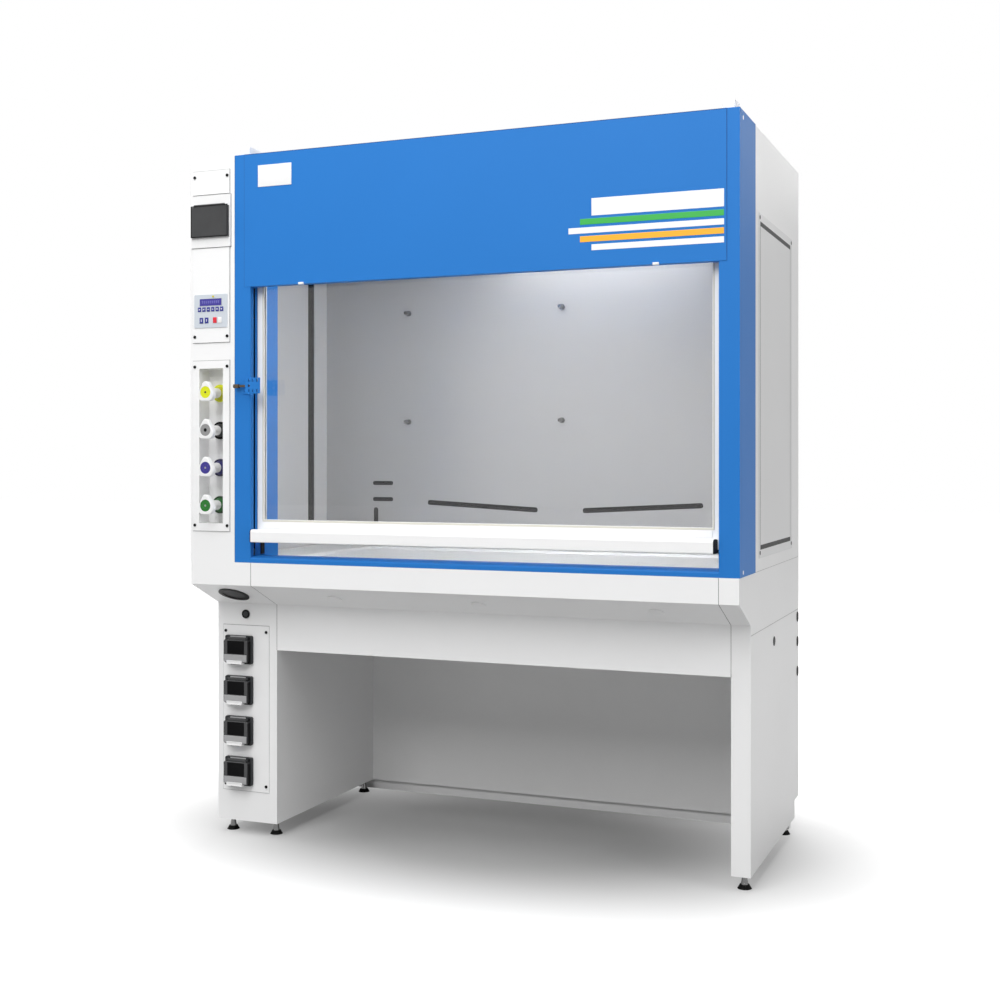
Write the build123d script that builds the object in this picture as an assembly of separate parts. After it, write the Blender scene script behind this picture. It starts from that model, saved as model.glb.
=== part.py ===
from build123d import *
from math import atan2, degrees, hypot
import os

# Chemical fume hood with a vertical sash, on a bench with knee space and a service column.
# X runs to the right, depth runs back from the fascia's face, Z is up from the floor, all in mm.

# Whole hood
overall_width = 1800.0
overall_height = 2224.0
body_depth = 952.0
knob_reach = 36.0
worktop_z = 930.0
sheet = 1.5
plate = 3.0
cover_thickness = 2.0
running_gap = 0.3
pin_play = 0.06
seam = 1.6

# Widths across the front
column_width = 167.0
post_width = 59.0
pedestal_width = 229.0
fascia_lap = 22.0

# Bench, measured down from the worktop or up from the floor
leg_base = 46.0
rear_step_height = 59.0
worktop_rise = 11.0
band_height = 74.0
bevel_drop = 74.0
apron_height = 151.0
seam_drop = 30.0
leg_front = 156.0
leg_post_depth = 39.0
leg_back_inset = 75.0
knee_back_inset = 105.0
bar_height = 38.0
bar_reach = (80.0, 40.0)
bar_thickness = 30.0

# Hood, measured from the worktop, the top and the back
sill_rise = 10.0
sill_depth = 112.0
fascia_height = 423.0
fascia_return = 28.0
roof_drop = 174.0
post_depth = 168.0
blue_return = 48.0
baffle_inset = 140.0
chamber_side_gap = 48.0

# Sash, its handle and its travel
sash_gap = 46.0
sash_depth = 39.0
sash_thickness = 18.0
handle_height = 40.0
handle_reach = 20.0
handle_gap = 9.0
handle_cap = 3.0
handle_wall = 3.0
rail_height = 30.0
sash_hidden = 59.0
stile_face = 25.0
stile_gap = 2.0
glass_thickness = 6.0
glass_edge = 9.0
open_margin = 15.0
sash_down = 40.0
shoe_height = 50.0
guide_width = 7.0
guide_depth = 14.0
groove_width = 4.5

# Belts, pulleys and counterweights inside the posts
belt_inset = 33.0
belt_width = 16.0
belt_thickness = 3.0
pulley_radius = 30.0
pulley_depth = 46.0
pulley_drop = 20.0
idler_drop = 24.0
axle_radius = 6.0
arm_thickness = 6.0
arm_depth = 20.5
arm_height = 28.0
arm_rise = 10.0
slot_play = 2.5
slot_spare = 14.0
weight_drop = 44.0
weight_height = 470.0
weight_width = 48.0
weight_gap = 8.0
cover_height = 26.0
cover_depths = (10.0, 86.0)
cover_width = 33.0

# Sash stop at the normal working height
stop_drop = 318.0
stop_height = 50.0
stop_bolt_depth = -13.0
stop_bolt_radius = 4.0
stop_bolt_length = 53.0
stop_grip_radius = 6.5
stop_plate_depth = -29.0
stop_plate_reach = 54.0
stop_foot = 28.0

# Levelling feet
foot_insets = (28.0, 33.0)
foot_front_inset = 52.0
foot_back_inset = 41.0
pad_radius = 21.0
pad_height = 12.0
nut_height = 8.0

# Port and plugs of the bench nose
port_radius = 46.0
port_lip = 9.0
cap_insets = (261.0, 200.0)
cap_radius = 24.0
plug_drop = 6.0
plug_radius = 11.0
plug_head = 14.0

# Socket panel, with lidded sockets one above another
socket_panel_margins = (24.0, 29.0)
socket_panel_foot = 100.0
socket_panel_drop = 44.0
socket_shift = -23.0
socket_top_margin = 80.5
socket_foot_margin = 60.0
socket_pitch = 134.67
box_width = 102.0
box_height = 94.0
box_proud = 12.0
box_back = 38.0
box_well_width = 82.0
recess_radius = 21.5
recess_depth = 13.0
recess_drop = 3.0
lid_width = 92.0
lid_height = 80.0
lid_depth = 18.0
lid_wall = 2.2
hinge_offset = 6.0
hinge_pin_radius = 1.5
knuckle_radius = 3.4

# Chamber slots, pegs and lamp
wall_slot_width = 47.0
wall_slot_gap = 93.0
wall_slot_end = 30.0
baffle_side_gap = 2.0
baffle_foot_gap = 8.0
baffle_head_gap = 12.0
slot_axis_shift = 4.0
long_slot_insets = (256.0, 89.5)
long_slot_rises = (162.0, 140.0)
drain_slot_inset = 34.0
drain_slot_rises = (132.0, 55.0)
wide_slot = 15.0
short_slot_insets = (29.0, 97.0)
short_slot_rises = (232.0, 172.0)
narrow_slot = 11.0
peg_share = 0.396
peg_shift = 12.0
peg_drop = 262.0
peg_rows = 400.0
peg_radius = 6.5
peg_length = 31.0
lamp_length = 800.0
lamp_width = 120.0
lamp_gap = 82.0

# Worktop dish
dish_inset = 49.0
dish_front_gap = 30.0
dish_back_gap = 74.0
dish_drop = 8.0
rim_front_gap = 14.0

# Duct spigot on the roof
spigot_gap = 252.0
spigot_radius = 125.0
spigot_height = 88.0

# Side access covers, the bushes of the right side and the ribs of the rear panel
access_gaps = (104.0, 130.0)
access_rises = (37.0, 246.0)
access_slot_insets = (20.0, 36.0)
access_slot_rises = (32.0, 31.0)
access_slot_height = 6.0
bush_inset = 22.0
bush_drops = (209.0, 108.0, 25.0)
rib_rise = 120.0
rib_depth = 12.0

# Service column: cover plates, keypad, breaker box and valves, listed from the top
cover_margins = (10.0, 18.0)
blank_drop = 42.0
blank_height = 76.0
breaker_drop = 4.0
breaker_size = (148.0, 168.0)
breaker_proud = 6.0
breaker_rim = 8.0
breaker_shift = -2.0
well_size = (126.0, 86.0)
well_depth = 68.0
door_size = (140.0, 99.0)
door_thickness = 8.0
pole_count = 6
pole_width = 17.5
pole_face = 32.0
pole_nose = 18.0
lever_face = 10.5
control_drop = 2.0
control_height = 305.0
keypad_size = (125.0, 107.0)
keypad_rise = 48.0
foil_thickness = 2.0
key_rise = 0.8
display_size = (82.0, 22.0)
display_drop = 25.0
key_count = 6
key_pitch = 16.8
key_row_drop = 48.0
key_row_size = (12.0, 14.0)
lower_key_shifts = (-35.0, -15.0, 16.0, 35.0)
lower_key_drop = 83.5
lower_key_size = (13.0, 18.0)
valve_cover_drop = 59.0
valve_cover_rise = 99.0
niche_width = 90.0
niche_edge = 25.0
niche_depth = 54.0
valve_top_margin = 78.0
valve_foot_margin = 50.0
valve_pitch = 121.33
disc_radius = 26.0
bell_radius = 16.0
bell_depth = 22.0
spindle_radius = 5.0
spindle_length = 20.0
knob_thickness = 17.0
knob_corners = ((-10.0, -10.0, 18.5), (10.0, -10.0, 18.5), (0.0, 22.0, 13.0))
knob_face_radius = 19.5

# Results for the bench
half_width = overall_width / 2
front_y = -(body_depth - knob_reach) / 2
skin_x = half_width - cover_thickness
left_post_x = -half_width + column_width
open_left = left_post_x + post_width
open_right = half_width - post_width
open_middle = (open_left + open_right) / 2
pedestal_inner = -half_width + pedestal_width
hood_base = worktop_z - worktop_rise
band_base = hood_base - band_height
bevel_base = band_base - bevel_drop
apron_base = bevel_base - apron_height
side_seam_z = bevel_base - seam_drop
rear_step_z = leg_base + rear_step_height
leg_back = body_depth - leg_back_inset
knee_back_depth = body_depth - knee_back_inset
panel_face = leg_front - cover_thickness
box_face = panel_face - box_proud
port_x = (-skin_x + open_left) / 2
cap_x = (open_left + cap_insets[0], open_middle, open_right - cap_insets[1])
foot_x = (-half_width + foot_insets[0], pedestal_inner - foot_insets[1], (open_right + skin_x) / 2)
foot_depths = (leg_front + foot_front_inset, leg_back - foot_back_inset)
socket_panel_x = (-half_width + socket_panel_margins[0], pedestal_inner - socket_panel_margins[1])
socket_panel_z = (leg_base + socket_panel_foot, side_seam_z - socket_panel_drop)
plug_x = sum(socket_panel_x) / 2
plug_z = side_seam_z - plug_drop
socket_x = plug_x + socket_shift
top_socket = socket_panel_z[1] - socket_top_margin
socket_count = 1 + int((top_socket - socket_foot_margin - socket_panel_z[0]) / socket_pitch)
socket_levels = [top_socket - i * socket_pitch for i in range(socket_count)]

# Results for the hood and the sash
roof_z = overall_height - 2 * sheet
ceiling_z = overall_height - roof_drop
fascia_base = overall_height - fascia_height
sill_top = worktop_z + sill_rise
sash_foot = sill_top + sash_gap
sash_head = fascia_base + sash_hidden
sash_up = fascia_base - sash_foot - handle_height - open_margin
glass_depth = sash_depth + (sash_thickness - glass_thickness) / 2
guide_face = sash_depth + sash_thickness + 2.0
groove_depth = guide_face + 4.0
shaft_back = guide_face + guide_depth + 12.0
chamber_x = half_width - chamber_side_gap
baffle_depth = body_depth - baffle_inset
baffle_x = chamber_x - baffle_side_gap
belt_x = left_post_x + belt_inset
belt_front = pulley_depth - pulley_radius - belt_thickness
belt_back = pulley_depth + pulley_radius + belt_thickness
peg_spacing = peg_share * (open_right - open_left)
pulley_z = overall_height - pulley_drop
idler_z = sash_foot + arm_rise - sash_down - idler_drop
weight_z = (overall_height - weight_drop - weight_height, overall_height - weight_drop)
weight_depths = (belt_back + 5.0, post_depth - weight_gap)
stop_z = fascia_base - stop_drop

# Results for the service column
column_covers_x = (-half_width + cover_margins[0], left_post_x - cover_margins[1])
column_middle = sum(column_covers_x) / 2
blank_z = (overall_height - blank_drop - blank_height, overall_height - blank_drop)
breaker_top = blank_z[0] - breaker_drop
breaker_middle = (column_middle, breaker_top - breaker_size[1] / 2)
control_top = breaker_top - breaker_size[1] - control_drop
control_z = (control_top - control_height, control_top)
keypad_middle = (column_middle, control_z[0] + keypad_rise + keypad_size[1] / 2)
keypad_top = keypad_middle[1] + keypad_size[1] / 2
valve_cover_z = (hood_base + valve_cover_rise, control_z[0] - valve_cover_drop)
niche_x = (column_middle - niche_width / 2, column_middle + niche_width / 2)
niche_z = (valve_cover_z[0] + niche_edge, valve_cover_z[1] - niche_edge)
top_valve = niche_z[1] - valve_top_margin
valve_count = 1 + int((top_valve - valve_foot_margin - niche_z[0]) / valve_pitch)
valve_levels = [top_valve - i * valve_pitch for i in range(valve_count)]
bell_face = niche_depth - bell_depth
knob_back = -knob_reach + knob_thickness


# Shapes from spans: x, depth and z are each a low and a high limit
def slab(x, depth, z):
    middle = ((x[0] + x[1]) / 2, front_y + (depth[0] + depth[1]) / 2, (z[0] + z[1]) / 2)
    return Pos(*middle) * Box(x[1] - x[0], depth[1] - depth[0], z[1] - z[0])


def front_plane(depth):
    return Plane((0, front_y + depth, 0), x_dir=(1, 0, 0), z_dir=(0, -1, 0))


# A sketch in X and Z, standing proud of the given depth towards the user
def raised(sketch, depth, thickness):
    return extrude(front_plane(depth) * sketch, amount=thickness)


def outline_face(points):
    return make_face(Polyline(*[(front_y + depth, z) for depth, z in points], close=True))


# An outline of depth and z points, drawn out along X
def drawn_across(points, x):
    return extrude(Plane.YZ.offset(x[0]) * outline_face(points), amount=x[1] - x[0])


# An outline of x and depth points, drawn up along Z
def drawn_up(points, z):
    outline = make_face(Polyline(*[(x, front_y + depth) for x, depth in points], close=True))
    return extrude(Plane.XY.offset(z[0]) * outline, amount=z[1] - z[0])


def rod_across(x, depth, z, radius):
    return extrude(Plane.YZ.offset(x[0]) * Pos(front_y + depth, z) * Circle(radius), amount=x[1] - x[0])


def rod_back(x, depth, z, radius):
    return raised(Pos(x, z) * Circle(radius), depth[1], depth[1] - depth[0])


# The outline of a folded sheet, whose thickness lies on the left of the path
def folded(path, thickness=sheet):
    corners = [Vector(*point) for point in path]
    inner = []
    for i, corner in enumerate(corners):
        steps = []
        if i > 0:
            steps.append((corner - corners[i - 1]).normalized())
        if i < len(corners) - 1:
            steps.append((corners[i + 1] - corner).normalized())
        normals = [Vector(-step.Y, step.X) for step in steps]
        mean = sum(normals, Vector()).normalized()
        inner.append(corner + mean * (thickness / mean.dot(normals[0])))
    return [(corner.X, corner.Y) for corner in corners + inner[::-1]]


# A sheet box with one side left open
def pan(body, open_face, thickness=sheet):
    return offset(body, amount=-thickness, openings=[open_face], kind=Kind.INTERSECTION)


def group(shapes):
    return Compound(children=[solid for shape in shapes for solid in shape.solids()])


def front_face(solid):
    return solid.faces().sort_by(Axis.Y)[0]


def back_face(solid):
    return solid.faces().sort_by(Axis.Y)[-1]


# Puts a piece of the sash system at the right post as well
def on_both_sides(shape):
    return group([shape, across_opening(shape)])


def across_opening(shape):
    return mirror(shape, about=Plane((open_middle, 0, 0), z_dir=(1, 0, 0)))


# Bench supports: hollow, with a front post, a step at the rear and an open top
def support(x):
    points = [
        (leg_front, leg_base),
        (leg_front, bevel_base),
        (leg_front + leg_post_depth, bevel_base),
        (leg_front + leg_post_depth, side_seam_z),
        (body_depth - sheet, side_seam_z),
        (body_depth - sheet, rear_step_z),
        (leg_back, rear_step_z),
        (leg_back, leg_base),
    ]
    inner_x = (x[0] + sheet, x[1] - sheet)
    inner_face = offset(outline_face(points), amount=-sheet, kind=Kind.INTERSECTION)
    hollow = extrude(Plane.YZ.offset(inner_x[0]) * inner_face, amount=inner_x[1] - inner_x[0])
    post_mouth = slab(inner_x, (leg_front + sheet, leg_front + leg_post_depth - sheet),
                      (bevel_base - 5, bevel_base + 5))
    main_mouth = slab(inner_x, (leg_front + leg_post_depth, body_depth - 2 * sheet),
                      (side_seam_z - 5, side_seam_z + 5))
    return drawn_across(points, x) - hollow - post_mouth - main_mouth


def bench_pedestal():
    window_z = (socket_levels[-1] - box_height / 2 + 5, socket_levels[0] + box_height / 2 - 5)
    window_x = (socket_x - box_width / 2 + 5, socket_x + box_width / 2 - 5)
    window = slab(window_x, (leg_front - 1, leg_front + sheet + 1), window_z)
    plug_hole = rod_back(plug_x, (leg_front - 1, leg_front + 5), plug_z, plug_radius)
    return support((-skin_x, pedestal_inner)) - window - plug_hole


# Bench nose: a band that slopes back under the worktop, in three lengths
def nose_end(x):
    points = [
        (0.0, hood_base),
        (0.0, band_base),
        (leg_front, bevel_base),
        (leg_front + leg_post_depth, bevel_base),
        (leg_front + leg_post_depth, side_seam_z),
        (body_depth - sheet, side_seam_z),
        (body_depth - sheet, hood_base),
    ]
    body = drawn_across(points, x)
    return pan(body, body.faces().sort_by(Axis.Z)[-1])


# A plane on the slope of the nose, its middle half way down
def on_slope(x):
    tilt = Vector(0, bevel_base - band_base, -leg_front).normalized()
    origin = (x, front_y + leg_front / 2, (band_base + bevel_base) / 2)
    return Plane(origin, x_dir=(1, 0, 0), z_dir=tilt)


def bench_nose_left():
    hole = extrude(on_slope(port_x) * Circle(port_radius), amount=8, both=True)
    return nose_end((-skin_x, open_left)) - hole


def bench_nose_middle():
    path = [
        (70.0, hood_base),
        (0.0, hood_base),
        (0.0, band_base),
        (leg_front, bevel_base),
        (leg_front + leg_post_depth, bevel_base),
    ]
    return drawn_across(folded(path), (open_left + seam, open_right - seam))


def bench_port_cover():
    plane = on_slope(port_x)
    rim = extrude(plane * (Circle(port_radius + 5) - Circle(port_radius - port_lip)), amount=3)
    ring = Circle(port_radius - running_gap) - Circle(port_radius - port_lip)
    sleeve = extrude(plane * ring, amount=-10)
    flap = extrude(plane.offset(-6) * Circle(port_radius - port_lip), amount=5)
    return rim + sleeve + flap


# White caps on the slope and the round plug at the head of the pedestal
def blanking_plugs():
    plugs = []
    for x in cap_x:
        plugs.append(extrude(on_slope(x) * Circle(cap_radius), amount=2.5))
    head = rod_back(plug_x, (leg_front - 3, leg_front), plug_z, plug_head)
    barrel = rod_back(plug_x, (leg_front, leg_front + 12), plug_z, plug_radius - running_gap)
    slot = slab((plug_x - 1.5, plug_x + 1.5), (leg_front - 4, leg_front - 1.5), (plug_z - 7, plug_z + 7))
    plugs.append(head + barrel - slot)
    return group(plugs)


def bench_apron():
    path = [
        (leg_front + leg_post_depth, bevel_base),
        (leg_front, bevel_base),
        (leg_front, apron_base),
        (leg_front + leg_post_depth, apron_base),
        (leg_front + leg_post_depth, apron_base + 15),
    ]
    return drawn_across(folded(path), (pedestal_inner, open_right))


def bench_knee_back():
    path = [
        (knee_back_depth + 25, hood_base - 60),
        (knee_back_depth, hood_base - 60),
        (knee_back_depth, leg_base),
        (knee_back_depth + 25, leg_base),
    ]
    return drawn_across(folded(path), (pedestal_inner, open_right))


def bench_rear_bar():
    bar_front = leg_back - 11
    x = (pedestal_inner - bar_reach[0], open_right + bar_reach[1])
    bar = slab(x, (bar_front, bar_front + bar_thickness), (leg_base - bar_height, leg_base))
    return pan(bar, back_face(bar))


# Levelling feet: rubber pads, chromed cones and locking nuts
def turned(points):
    return revolve(Plane.XZ * make_face(Polyline(*points, close=True)), axis=Axis.Z)


def at_feet(shape):
    return group([Pos(x, front_y + depth, 0) * shape for x in foot_x for depth in foot_depths])


def foot_pads():
    return at_feet(turned([(0, 0), (pad_radius, 0), (14, pad_height), (0, pad_height)]))


def foot_stems():
    cone = turned([(0, pad_height), (11, pad_height), (5, leg_base), (0, leg_base)])
    nut = extrude(Plane.XY.offset(leg_base - nut_height) * RegularPolygon(9.5, 6), amount=nut_height)
    return at_feet(cone + nut)


# Sockets of the pedestal
def socket_panel():
    body = slab(socket_panel_x, (panel_face, leg_front), socket_panel_z)
    for level in socket_levels:
        hole = Pos(socket_x, level) * Rectangle(box_well_width + 2, box_well_width - 6)
        body -= raised(hole, leg_front + 1, 5)
    return body


def lid_pivot(level):
    return box_face - hinge_offset, level + lid_height / 2 - 1


def hinge_ears(x, pivot, face):
    depth, z = pivot
    ears = []
    for end, inward in ((x[0], 1), (x[1], -1)):
        ear_x = sorted((end + inward * 5, end + inward * 11))
        ears.append(slab(ear_x, (depth - 2.5, face), (z - 3, z + 3)))
    return ears + [rod_across((x[0] + 6, x[1] - 6), depth, z, hinge_pin_radius)]


# The rolled edge and web that hang a lid on its pin
def hinge_knuckle(x, pivot, top):
    depth, z = pivot
    span = (x[0] + 11.5, x[1] - 11.5)
    knuckle = rod_across(span, depth, z, knuckle_radius)
    web = slab(span, (depth - knuckle_radius, depth + 0.5), (top - 1, z))
    return knuckle + web - rod_across(x, depth, z, hinge_pin_radius + pin_play)


def socket_box(level):
    frame = raised(Pos(socket_x, level) * Rectangle(box_width, box_height), panel_face, box_proud)
    frame = chamfer(frame.edges().filter_by(Axis.Y), 4)
    back_depth = leg_front + box_back
    back = raised(Pos(socket_x, level) * Rectangle(box_well_width, box_well_width - 8), back_depth,
                  back_depth - box_face)
    well = raised(Pos(socket_x, level - recess_drop) * Circle(recess_radius), box_face + recess_depth, 20)
    lid_x = (socket_x - lid_width / 2, socket_x + lid_width / 2)
    return frame + back - well + hinge_ears(lid_x, lid_pivot(level), box_face)


def socket_lid(level):
    top = lid_pivot(level)[1] - 5.0
    bottom = level - lid_height / 2
    outline = Pos(socket_x, (top + bottom) / 2) * Rectangle(lid_width, top - bottom)
    shell = raised(outline, box_face - running_gap, lid_depth)
    shell = chamfer(shell.edges().filter_by(Axis.Y), 4)
    shell = pan(shell, back_face(shell), lid_wall)
    shell = chamfer(front_face(shell).edges(), 1.5)
    tab = slab((socket_x - 16, socket_x + 16), (box_face - lid_depth - 3, box_face - running_gap),
               (bottom - 7, bottom + 1.5))
    lid_x = (socket_x - lid_width / 2, socket_x + lid_width / 2)
    return shell + tab + hinge_knuckle(lid_x, lid_pivot(level), top)


# Posts: tall folded tubes that hold the belts, pulleys and counterweights
def hood_left_post():
    tube = slab((left_post_x, open_left), (0, post_depth), (hood_base, overall_height))
    tube = pan(tube, tube.faces().sort_by(Axis.Z)[0])
    slot_z = (sill_top + 2, sash_foot + sash_up + arm_rise + arm_height + slot_spare)
    slot_depths = (arm_depth - slot_play, arm_depth + arm_thickness + slot_play)
    arm_slot = slab((open_left - 5, open_left + 1), slot_depths, slot_z)
    pulley_gap = slab((belt_x - cover_width / 2 + 3, belt_x + cover_width / 2 - 3),
                      (cover_depths[0] + 2, cover_depths[1] - 2), (overall_height - 5, overall_height + 1))
    bores = [rod_across((left_post_x - 1, open_left + 1), pulley_depth, z, axle_radius + pin_play)
             for z in (pulley_z, idler_z)]
    return tube - arm_slot - pulley_gap - bores


def hood_right_post():
    outer_return = slab((half_width - sheet, half_width), (post_depth - 1, post_depth + blue_return),
                        (hood_base, overall_height))
    return across_opening(hood_left_post()) + outer_return


def hood_fascia():
    face = slab((open_left - fascia_lap, open_right + fascia_lap), (-sheet, 0), (fascia_base, overall_height))
    inner = (open_left, open_right)
    lower = slab(inner, (-sheet, fascia_return), (fascia_base, fascia_base + sheet))
    upper = slab(inner, (-sheet, fascia_return), (overall_height - sheet, overall_height))
    hem = slab(inner, (fascia_return - sheet, fascia_return), (fascia_base, fascia_base + 14))
    return face + lower + upper + hem


def hood_sill():
    path = [
        (sill_depth, worktop_z),
        (sill_depth, sill_top - 3),
        (40.0, sill_top),
        (24.0, sill_top),
        (2.0, sill_top - 5),
        (0.0, sill_top - 9),
        (0.0, hood_base),
        (30.0, hood_base),
    ]
    return drawn_across(folded(path), (open_left, open_right))


# Roof sheet with the spigot for the duct, cut back in front where the sash rises
def hood_roof():
    main = slab((-skin_x + sheet, skin_x - sheet), (post_depth, body_depth - sheet), (roof_z, roof_z + sheet))
    front = slab((open_left, open_right), (guide_face + guide_depth + 2, post_depth), (roof_z, roof_z + sheet))
    centre = Pos(open_middle, front_y + baffle_depth - spigot_gap, roof_z)
    collar = centre * extrude(Circle(spigot_radius) - Circle(spigot_radius - sheet), amount=spigot_height)
    ring = centre * extrude(Circle(spigot_radius + 22) - Circle(spigot_radius - sheet), amount=4)
    hole = centre * extrude(Circle(spigot_radius - sheet), amount=4, both=True)
    return main + front - hole + collar + ring


def pulley_covers():
    box = slab((belt_x - cover_width / 2, belt_x + cover_width / 2), cover_depths,
               (overall_height, overall_height + cover_height))
    box = chamfer(box.edges().filter_by(Axis.X).sort_by(Axis.Z)[-2:], 3)
    return on_both_sides(pan(box, box.faces().sort_by(Axis.Z)[0]))


# Chamber: side walls with an air slot, a ceiling with its lamp, and the baffle
def chamber_wall(side):
    x = sorted((side * chamber_x, side * (chamber_x - plate)))
    wall = slab(x, (post_depth, baffle_depth), (worktop_z, ceiling_z))
    slot_back = baffle_depth - wall_slot_gap
    return wall - slab((x[0] - 1, x[1] + 1), (slot_back - wall_slot_width, slot_back),
                       (worktop_z + wall_slot_end, ceiling_z - wall_slot_end))


def lamp_span():
    return (open_middle - lamp_length / 2, open_middle + lamp_length / 2)


def lamp_depths(grow=0.0):
    front = post_depth + lamp_gap
    return (front - grow, front + lamp_width + grow)


# The ceiling turns up behind the sash, and is cut back round the posts and the column
def chamber_ceiling():
    path = [
        (shaft_back, roof_z),
        (shaft_back, ceiling_z),
        (baffle_depth, ceiling_z),
        (baffle_depth, ceiling_z + 25),
    ]
    ceiling = drawn_across(folded(path), (-chamber_x, chamber_x))
    for x in ((-half_width, open_left), (open_right, half_width)):
        ceiling -= slab(x, (0, post_depth), (ceiling_z - 5, roof_z + 5))
    return ceiling - slab(lamp_span(), lamp_depths(), (ceiling_z - 1, ceiling_z + 5))


def lamp_glass():
    x = lamp_span()
    lens = slab(x, lamp_depths(), (ceiling_z - 8, ceiling_z + sheet))
    flange = slab((x[0] - 12, x[1] + 12), lamp_depths(12), (ceiling_z + sheet, ceiling_z + sheet + 3))
    return chamfer(lens.faces().sort_by(Axis.Z)[0].edges(), 6) + flange


# A round-ended slot between two points of the baffle
def slot_between(start, end, width):
    length = hypot(end[0] - start[0], end[1] - start[1])
    angle = degrees(atan2(end[1] - start[1], end[0] - start[0]))
    middle = ((start[0] + end[0]) / 2, (start[1] + end[1]) / 2)
    shape = Pos(*middle) * Rot(0, 0, angle) * SlotOverall(length + width, width)
    return raised(shape, baffle_depth + 5, 10)


# Sloping, short and bottom slots, the same on both sides of the middle
def chamber_baffle():
    head = ceiling_z - baffle_head_gap
    x = (-baffle_x, baffle_x)
    body = slab(x, (baffle_depth, baffle_depth + sheet), (worktop_z + baffle_foot_gap, head))
    body += slab(x, (baffle_depth, baffle_depth + 20), (head - sheet, head))
    long_start = (open_left + long_slot_insets[0], worktop_z + long_slot_rises[0])
    long_end = (open_middle - long_slot_insets[1], worktop_z + long_slot_rises[1])
    drain_x = open_left + drain_slot_inset
    drain_top, drain_foot = [(drain_x, worktop_z + rise) for rise in drain_slot_rises]
    cuts = [slot_between(long_start, long_end, wide_slot), slot_between(drain_top, drain_foot, wide_slot)]
    for rise in short_slot_rises:
        start, end = [(open_left + inset, worktop_z + rise) for inset in short_slot_insets]
        cuts.append(slot_between(start, end, narrow_slot))
    middle = Plane((open_middle + slot_axis_shift, 0, 0), z_dir=(1, 0, 0))
    for cut in cuts:
        body = body - cut - mirror(cut, about=middle)
    return body


def lattice_pegs():
    pegs = []
    for step in (-1, 0, 1):
        x = open_middle + peg_shift + step * peg_spacing
        for z in (ceiling_z - peg_drop - peg_rows, ceiling_z - peg_drop):
            pin = rod_back(x, (baffle_depth - peg_length, baffle_depth), z, peg_radius)
            nut = raised(Pos(x, z) * RegularPolygon(peg_radius + 4.5, 6), baffle_depth, 4)
            pegs.append(pin + nut)
    return group(pegs)


# Dished stainless worktop that holds a spill, hollow under its rim
def worktop_outline(inset):
    front = sill_depth - rim_front_gap
    return [
        (open_left + inset, front + inset),
        (open_right - inset, front + inset),
        (open_right - inset, post_depth + inset),
        (chamber_x - plate - inset, post_depth + inset),
        (chamber_x - plate - inset, baffle_depth + 40 - inset),
        (-chamber_x + plate + inset, baffle_depth + 40 - inset),
        (-chamber_x + plate + inset, post_depth + inset),
        (open_left + inset, post_depth + inset),
    ]


def dish_sketch(grow):
    front = sill_depth - rim_front_gap + dish_front_gap
    back = baffle_depth - dish_back_gap
    width = open_right - open_left - 2 * dish_inset + 2 * grow
    place = Pos(open_middle, front_y + (front + back) / 2)
    return place * RectangleRounded(width, back - front + 2 * grow, 14 + grow)


def worktop():
    top = drawn_up(worktop_outline(0.0), (hood_base, worktop_z))
    dish = extrude(Plane.XY.offset(worktop_z) * dish_sketch(0.0), amount=-dish_drop, taper=45)
    hollow = drawn_up(worktop_outline(plate), (hood_base - 1, worktop_z - plate))
    keep = extrude(Plane.XY.offset(hood_base - 2) * dish_sketch(plate), amount=20)
    return top - dish - (hollow - keep)


# Outer skins
def side_panel(side):
    x = sorted((side * skin_x, side * (skin_x - sheet)))
    return slab(x, (post_depth, body_depth - sheet), (hood_base, overall_height))


def access_panels():
    through = (skin_x - 1, half_width + 1)
    depths = (post_depth + access_gaps[0], body_depth - access_gaps[1])
    heights = (hood_base + access_rises[0], overall_height - access_rises[1])
    cover = slab((skin_x, half_width), depths, heights)
    slot_depths = (depths[0] + access_slot_insets[0], depths[1] - access_slot_insets[1])
    for z in (heights[0] + access_slot_rises[0], heights[1] - access_slot_rises[1]):
        cover -= slab(through, slot_depths, (z - access_slot_height / 2, z + access_slot_height / 2))
    return group([cover, mirror(cover, about=Plane.YZ)])


def rear_panel():
    body = slab((-skin_x, skin_x), (body_depth - sheet, body_depth), (rear_step_z, overall_height))
    rib_z = (worktop_z + rib_rise, ceiling_z)
    ribs = [slab((x - 20, x + 20), (body_depth - sheet - rib_depth, body_depth - sheet), rib_z)
            for x in (-overall_width / 4, 0.0, overall_width / 4)]
    return body + ribs


# Dark rubber bushes where service lines pass the rear edge of the right side
def rear_grommets():
    bushes = []
    for drop in bush_drops:
        y, z = front_y + body_depth - bush_inset, side_seam_z - drop
        bush = extrude(Plane.YZ.offset(skin_x) * Pos(y, z) * Rectangle(26, 32), amount=cover_thickness)
        bushes.append(chamfer(bush.edges().filter_by(Axis.X), 7) - Pos(half_width, y, z) * Box(1.6, 10, 16))
    return group(bushes)


# Service column beside the left post: a folded channel, closed by a front sheet
def service_column():
    x = (-half_width, left_post_x)
    inner_x = (x[0] + sheet, x[1] - sheet)
    inner = slab(inner_x, (sheet - 1, post_depth - sheet), (hood_base - 1, overall_height - sheet))
    return slab(x, (sheet, post_depth), (hood_base, overall_height)) - inner


def column_front():
    front = slab((-half_width, left_post_x), (0, sheet), (hood_base, overall_height))
    niche = [(low - sheet, high + sheet) for low, high in (niche_x, niche_z)]
    return front - slab(niche[0], (-1, 5), niche[1]) - breaker_slab(breaker_rim, (-1, 5))


def column_covers():
    return group([slab(column_covers_x, (-plate, 0), z) for z in (blank_z, control_z)])


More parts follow.
